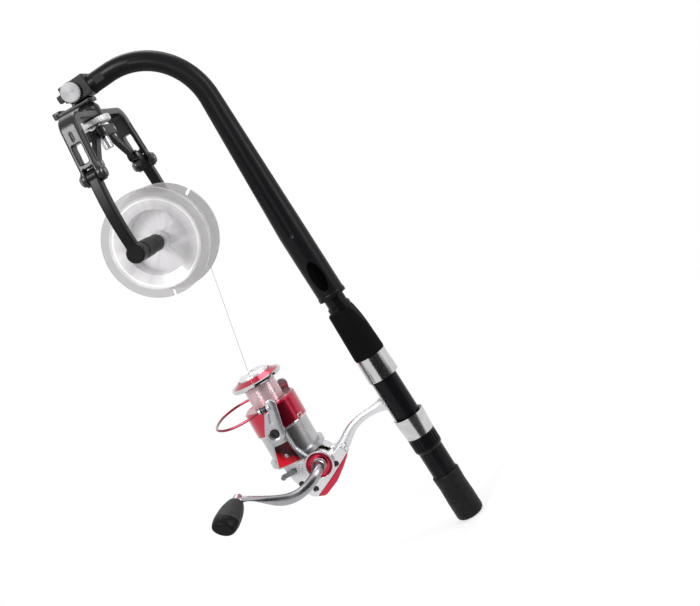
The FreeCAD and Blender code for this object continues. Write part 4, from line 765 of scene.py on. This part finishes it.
# %% Socket screws
SOCKET_HALF = 1.9
BOLT_HEAD = ((0.0, 0.0), (5.2, 0.0), (5.2, 0.9), (4.5, 1.9), (3.4, 2.3))
PIVOT_HEAD = ((0.0, 0.0), (3.9, 0.0), (3.9, 0.8), (3.5, 1.3), (3.1, 1.35))
NUT_RINGS = ((2.4, 0.0), (4.0, 0.0), (4.0, 2.0), (3.6, 2.4), (2.4, 2.4))
NUT_BORE = (0, len(NUT_RINGS) - 1)
BOLT_SOCKET_FLOOR, PIVOT_SOCKET_FLOOR = 1.6, 0.2
HINGE_X, HINGE_Y, HINGE_Z = 8.8, 65.5, 67.6
PIVOT_Y, PIVOT_Z = 29.95, 5.7
SCREW_SEGMENTS, CHAMFER_OUT, CHAMFER_DOWN = 72, 0.25, 0.2


def to_hexagon(reach, angle):
    """How much farther out than reach the flat side of a hexagon lies, at an angle."""
    turn = (angle + math.pi / 6) % (math.pi / 3) - math.pi / 6
    return reach / math.cos(turn) - reach


def screw_head(name, profile, socket_half, socket_floor, place):
    """A head on local Z: the profile, then a hexagon socket down to its floor."""
    top = profile[-1][1]
    rings = (*profile[1:], (socket_half + CHAMFER_OUT, top), (socket_half, top - CHAMFER_DOWN),
             (socket_half, socket_floor))
    first_hex = len(profile) - 1

    def socket_flats(ring, angle):
        return to_hexagon(rings[ring][0], angle) if ring >= first_hex else 0

    return turned_mesh(name, rings, SCREW_SEGMENTS, place, closed=False, ripple=socket_flats)


def nut_flats(ring, angle):
    return 0 if ring in NUT_BORE else to_hexagon(NUT_RINGS[ring][0], angle)


def joined(name, meshes):
    work = bmesh.new()
    for mesh in meshes:
        work.from_mesh(mesh)
    whole = bpy.data.meshes.new(name)
    work.to_mesh(whole)
    work.free()
    return whole


def facing(axis, side=1):
    """Turn local Z to an axis, or against it when side is -1."""
    return Vector([side * value for value in axis]).to_track_quat("Z", "Y").to_matrix().to_4x4()


bolt_meshes = []
for side in (-1, 1):
    head_at = at_mm(HEAD, HINGE_X, side * HINGE_Y, HINGE_Z) @ facing((1, 0, 0))
    nut_at = at_mm(HEAD, -HINGE_X, side * HINGE_Y, HINGE_Z) @ facing((1, 0, 0), -1)
    bolt_meshes.append(screw_head("bolt_head", BOLT_HEAD, SOCKET_HALF, BOLT_SOCKET_FLOOR, head_at))
    bolt_meshes.append(turned_mesh("nut", NUT_RINGS, SCREW_SEGMENTS, nut_at, ripple=nut_flats))
hinge_screws = new_piece("hinge_screws", joined("hinge_screws", bolt_meshes), bolt_black, "yoke",
                         "bolt_steel", "hinge_bolts")
# only the socket floors and the hidden undersides have more than four corners
second_finish(hinge_screws, cap_silver, lambda face: len(face.vertices) > 4)
smooth_edges(hinge_screws, 32)

pivot_meshes = [screw_head("pivot", PIVOT_HEAD, SOCKET_HALF, PIVOT_SOCKET_FLOOR,
                           at_mm(REEL, 0, side * PIVOT_Y, PIVOT_Z) @ facing((0, 1, 0), side))
                for side in (-1, 1)]
pivot_screws = new_piece("pivot_screws", joined("pivot_screws", pivot_meshes), dark_steel, "rotor",
                         "dark_steel", "bail_screws")
smooth_edges(pivot_screws, 32)
print("socket screws", len(bolt_meshes) + len(pivot_meshes))

# %% [markdown]
# ## Knurled wheels
# The thumbwheel and the drag knob are gripped at the rim. Fine scallops come from a cosine of the angle
# added to the rim's radius, so one ring of points gives both the round and the grip.

# %% Knurled wheels
THUMB_RINGS = ((4.3, 107.8), (12.6, 107.8), (13.2, 108.2), (13.45, 109.0), (13.45, 111.8), (13.2, 112.6),
               (12.6, 113.0), (4.3, 113.0))
DRAG_RINGS = ((2.5, 50.4), (13.8, 50.4), (14.2, 50.9), (14.2, 54.4), (13.9, 55.2), (13.0, 56.4),
              (11.6, 57.1), (10.9, 57.15), (10.2, 56.6), (9.4, 56.45), (7.4, 56.4), (6.9, 56.6), (6.4, 56.4),
              (4.4, 56.4), (4.0, 57.2), (3.4, 57.9), (2.5, 58.0))
THUMB_SEGMENTS, THUMB_SCALLOPS, THUMB_DEPTH, THUMB_RIM = 288, 36, 0.12, (3, 4)
DRAG_SEGMENTS, DRAG_SCALLOPS, DRAG_DEPTH, DRAG_RIM = 240, 30, 0.25, (3,)


def scalloped(rim_rings, count, depth):
    return lambda ring, angle: -depth * (0.5 + 0.5 * math.cos(count * angle)) if ring in rim_rings else 0


thumb_mesh = turned_mesh("thumb_disc", THUMB_RINGS, THUMB_SEGMENTS, HEAD,
                         ripple=scalloped(THUMB_RIM, THUMB_SCALLOPS, THUMB_DEPTH))
thumb_disc = new_piece("thumb_disc", thumb_mesh, thumb_metal, "spindle", "knob_metal", "thumbwheel")
smooth_edges(thumb_disc, 40)
drag_mesh = turned_mesh("drag_cap", DRAG_RINGS, DRAG_SEGMENTS, REEL,
                        ripple=scalloped(DRAG_RIM, DRAG_SCALLOPS, DRAG_DEPTH))
drag_cap = new_piece("drag_cap", drag_mesh, cap_silver, "drag_knob", "knob_metal", "drag_knob")
smooth_edges(drag_cap, 40)
print("wheel faces", len(thumb_mesh.polygons) + len(drag_mesh.polygons))

# %% [markdown]
# ## Wound line
# A winding shows as a row of fine ridges, one per turn. The profile has three points for each turn, a
# valley and two shoulders, and the whole winding swells a little in its middle, as real line does.

# %% Windings
REEL_OUTER, REEL_INNER, REEL_LOW, REEL_HIGH, REEL_PITCH, REEL_SWELL = 14.6, 11.55, 27.05, 45.6, 0.6, 0.5
FILL_OUTER, FILL_INNER, FILL_PITCH, FILL_SWELL = 32.4, 29.55, 0.8, 0.4
GROOVE, SHOULDERS = 0.28, (0.3, 0.7)  # as shares of the pitch


def winding(name, outer, inner, low, high, pitch, swell, place):
    turns = int((high - low) / pitch)
    rings = [(inner, low)]
    for number in range(turns):
        start = low + number * pitch
        across = (start + pitch / 2 - low) / (high - low)
        crown = outer - swell + swell * math.sin(math.pi * across)
        rings += [(crown - pitch * GROOVE, start), *((crown, start + pitch * at) for at in SHOULDERS)]
    rings += [(outer - swell - pitch * GROOVE, high), (inner, high)]
    return turned_mesh(name, rings, place=place)


reel_winding = new_piece("reel_winding",
                         winding("reel_winding", REEL_OUTER, REEL_INNER, REEL_LOW, REEL_HIGH, REEL_PITCH,
                                 REEL_SWELL, REEL),
                         reel_nylon, "reel_spool", "reel_line", "reel_spool_line")
fill_low, fill_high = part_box("spool_line")
fill_half = (fill_high[1] - fill_low[1]) / 2 / MM
filler_winding = new_piece("filler_winding",
                           winding("filler_winding", FILL_OUTER, FILL_INNER, -fill_half, fill_half,
                                   FILL_PITCH, FILL_SWELL, HEAD @ facing((0, 1, 0))),
                           filler_nylon, "line_spool", "clear_line", "spool_line")
print("winding faces", len(reel_winding.data.polygons) + len(filler_winding.data.polygons))

# %% [markdown]
# ## Sculpted bail arms
# A cast bail arm is crowned across its width and has a shallow valley along its back. The points of its
# outer face move in code: each finds its place along the arm and across it, and a smooth bump lifts it.
# Round the pivot screw nothing moves, so the counterbore stays round.

# %% Sculpt the bail arms
PIVOT, ARM_HEAD = Vector((0, 0, 5.7)), Vector((9.0, 0, 29.6))
PIVOT_HALF, ARM_HEAD_HALF, OUTER_FACE = 8.6, 5.2, 30.6
CROWN, VALLEY, VALLEY_AT, VALLEY_WIDTH = 0.95, 0.75, 0.15, 0.3
VALLEY_OPENS, VALLEY_CLOSES = (7, 12), (18, 23)
COUNTERBORE = (4.3, 6.0)


def smoothstep(value, low, high):
    share = min(max((value - low) / (high - low), 0), 1)
    return share * share * (3 - 2 * share)


def crown_bail_arm(made, side):
    to_reel = REEL.inverted()
    along = (ARM_HEAD - PIVOT).normalized()
    across = Vector((-along.z, 0, along.x))
    length = (ARM_HEAD - PIVOT).length
    moved = 0
    for point in made.data.vertices:
        local = (to_reel @ point.co) / MM
        if side * local.y < OUTER_FACE:
            continue
        offset = Vector((local.x, 0, local.z)) - PIVOT
        run = offset.dot(along)
        half = PIVOT_HALF + (ARM_HEAD_HALF - PIVOT_HALF) * min(max(run / length, 0), 1)
        share = offset.dot(across) / half
        beyond = max(-run, run - length, 0) / half
        if share * share + beyond * beyond >= 1:
            continue
        bump = CROWN * (1 - share * share - beyond * beyond)
        valley = VALLEY * math.exp(-((share - VALLEY_AT) / VALLEY_WIDTH) ** 2)
        bump -= valley * smoothstep(run, *VALLEY_OPENS) * (1 - smoothstep(run, *VALLEY_CLOSES))
        bump *= smoothstep(offset.length, *COUNTERBORE)
        point.co = REEL @ (Vector((local.x, local.y + side * bump, local.z)) * MM)
        moved += 1
    return moved


print("points moved", crown_bail_arm(castings["bail_side_arm"], -1),
      crown_bail_arm(castings["bail_far_arm"], 1))

# %% [markdown]
# ## Patches on round walls
# The line clip on the spool's skirt and the oval plate on the arm's socket are small raised patches that
# follow a cylinder. They are drawn flat, as rings of a rounded outline at several heights, and every point
# is then wrapped round: its distance sideways becomes an angle.


# %% Wrapped patches
PATCH_SEGMENTS, PATCH_FILL = 64, (0.75, 0.5, 0.25, 0.02)


def wrapped_patch(name, rings, wall, azimuth, height, place, power):
    """rings: (half width, half height, lift) in mm. The last ring is filled towards its middle. A power
    of 2 makes the outline an ellipse, and a higher one squares it."""
    wide, tall, top = rings[-1]
    rings = [*rings, *((wide * share, tall * share, top) for share in PATCH_FILL)]
    work = bmesh.new()
    rows = []
    for half_width, half_height, lift in rings:
        row = []
        for step in range(PATCH_SEGMENTS):
            turn = 2 * math.pi * step / PATCH_SEGMENTS
            c, v = math.cos(turn), math.sin(turn)
            sideways = math.copysign(abs(c) ** (2 / power), c) * half_width
            rise = math.copysign(abs(v) ** (2 / power), v) * half_height
            angle = math.radians(azimuth) + sideways / wall
            reach = wall + lift
            row.append(work.verts.new(Vector((reach * math.cos(angle), reach * math.sin(angle),
                                              height + rise)) * MM))
        rows.append(row)
    join_rows(work, rows)
    work.faces.new(rows[-1])
    work.normal_update()
    mesh = bpy.data.meshes.new(name)
    work.to_mesh(mesh)
    work.free()
    mesh.transform(place)
    smooth_faces(mesh)
    return mesh


CLIP_RINGS = ((3.2, 1.9, -0.3), (3.2, 1.9, 0.15), (3.0, 1.7, 0.45), (2.3, 1.1, 0.45), (2.1, 0.95, 0.2),
              (2.1, 0.95, -0.2))
PLATE_RINGS = ((5.9, 14.0, -0.4), (5.9, 14.0, 0.2), (5.7, 13.7, 0.45), (5.2, 13.1, 0.5), (4.9, 12.7, 0.45),
               (4.8, 12.6, 0.2), (4.6, 12.4, 0.15))
CLIP_FRAME_STEPS = 4
# wall radius in mm, azimuth in degrees, height in mm
CLIP_PLACE, PLATE_PLACE = (24.0, -27, 6.4), (12.1, -88, 249.0)
ROUNDED_BOX, ELLIPSE = 4, 2

clip_mesh = wrapped_patch("line_clip", CLIP_RINGS, *CLIP_PLACE, REEL, ROUNDED_BOX)
clip = new_piece("line_clip", clip_mesh, rotor_chrome, "reel_spool", "rotor_silver")
second_finish(clip, seat_plastic, lambda face: face.index >= CLIP_FRAME_STEPS * PATCH_SEGMENTS)
smooth_edges(clip, 35)
plate_mesh = wrapped_patch("oval_plate", PLATE_RINGS, *PLATE_PLACE, Matrix.Identity(4), ELLIPSE)
oval_plate = new_piece("oval_plate", plate_mesh, plate_black, "curved_arm", "arm_black")
smooth_edges(oval_plate, 35)
print("patches", clip.name, oval_plate.name)

# %% [markdown]
# ## Trim on the reel
# Thin bright trim catches the light on a reel: a band at the foot of the spool's skirt, a red dish inside
# the crank's hub ring, and a rolled rib along the front edge of each rotor arm with a small cover screw.

# %% Reel trim
BAND_RINGS = ((23.3, 3.05), (24.0, 3.05), (24.15, 3.3), (24.15, 4.1), (24.0, 4.4), (23.3, 4.4))
DISH_RINGS = ((6.4, 12.95), (11.4, 12.95), (11.4, 15.1), (11.1, 15.1), (10.4, 14.0), (9.0, 13.5),
              (7.4, 13.6), (6.4, 14.2))
RIB_PATH = ((12.6, -25.6), (10.2, -19.8), (7.9, -14.0), (7.5, -8.0), (7.2, -2.0), (7.1, 1.5))
RIB_HALF, RIB_LOW, RIB_HIGH = 0.95, 27.9, 28.75
RIB_ARC_STEPS, RIB_PATH_STEPS, BAND_SEGMENTS = 8, 6, 128
HUB_X, HUB_Z = 15.0, -40.3
COVER_SCREW = ((0, 0), (1.7, 0), (1.7, 0.35), (1.3, 0.65))
COVER_SOCKET_HALF, COVER_SOCKET_FLOOR = 0.7, 0.2
COVER_X, COVER_Y, COVER_Z = -1.5, 28.35, -16.5

skirt_band = new_piece("skirt_band", turned_mesh("skirt_band", BAND_RINGS, BAND_SEGMENTS, REEL),
                       rotor_chrome, "reel_spool", "rotor_silver")
smooth_edges(skirt_band)
hub_place = at_mm(REEL, HUB_X, 0, HUB_Z) @ facing((0, 1, 0), -1)
hub_dish = new_piece("hub_dish", turned_mesh("hub_dish", DISH_RINGS, place=hub_place), red_metal, "handle",
                     "reel_red")
smooth_edges(hub_dish)


def rib_mesh(side):
    """A rounded strip on the rotor arm's round wall, swept along a short path."""
    work = bmesh.new()
    turns = [math.pi * step / RIB_ARC_STEPS for step in range(RIB_ARC_STEPS + 1)]
    profile = [(math.cos(turn), math.sin(turn)) for turn in turns]
    rows = []
    steps = [Vector(a).lerp(Vector(b), part / RIB_PATH_STEPS)
             for a, b in zip(RIB_PATH, RIB_PATH[1:]) for part in range(RIB_PATH_STEPS)]
    for place in [*steps, Vector(RIB_PATH[-1])]:
        row = []
        for across, lift in profile:
            x = place.x + across * RIB_HALF
            wall = RIB_LOW + (RIB_HIGH - RIB_LOW) * lift
            row.append(work.verts.new(Vector((x, side * math.sqrt(wall * wall - x * x), place.y)) * MM))
        rows.append(row)
    join_rows(work, rows)
    work.faces.new(rows[0])
    work.faces.new(list(reversed(rows[-1])))
    bmesh.ops.recalc_face_normals(work, faces=work.faces)
    mesh = bpy.data.meshes.new("rib")
    work.to_mesh(mesh)
    work.free()
    mesh.transform(REEL)
    return mesh


rotor_ribs = new_piece("rotor_ribs", joined("rotor_ribs", [rib_mesh(-1), rib_mesh(1)]), silver, "rotor",
                       "rotor_silver")
smooth_edges(rotor_ribs, 50)
cover_screw_meshes = [screw_head("cover_screw", COVER_SCREW, COVER_SOCKET_HALF, COVER_SOCKET_FLOOR,
                                 at_mm(REEL, COVER_X, side * COVER_Y, COVER_Z) @ facing((0, 1, 0), side))
                      for side in (-1, 1)]
cover_screws = new_piece("cover_screws", joined("cover_screws", cover_screw_meshes), bolt_steel, "rotor",
                         "dark_steel")
smooth_edges(cover_screws, 35)
print("trim pieces", len((skirt_band, hub_dish, rotor_ribs, cover_screws)))
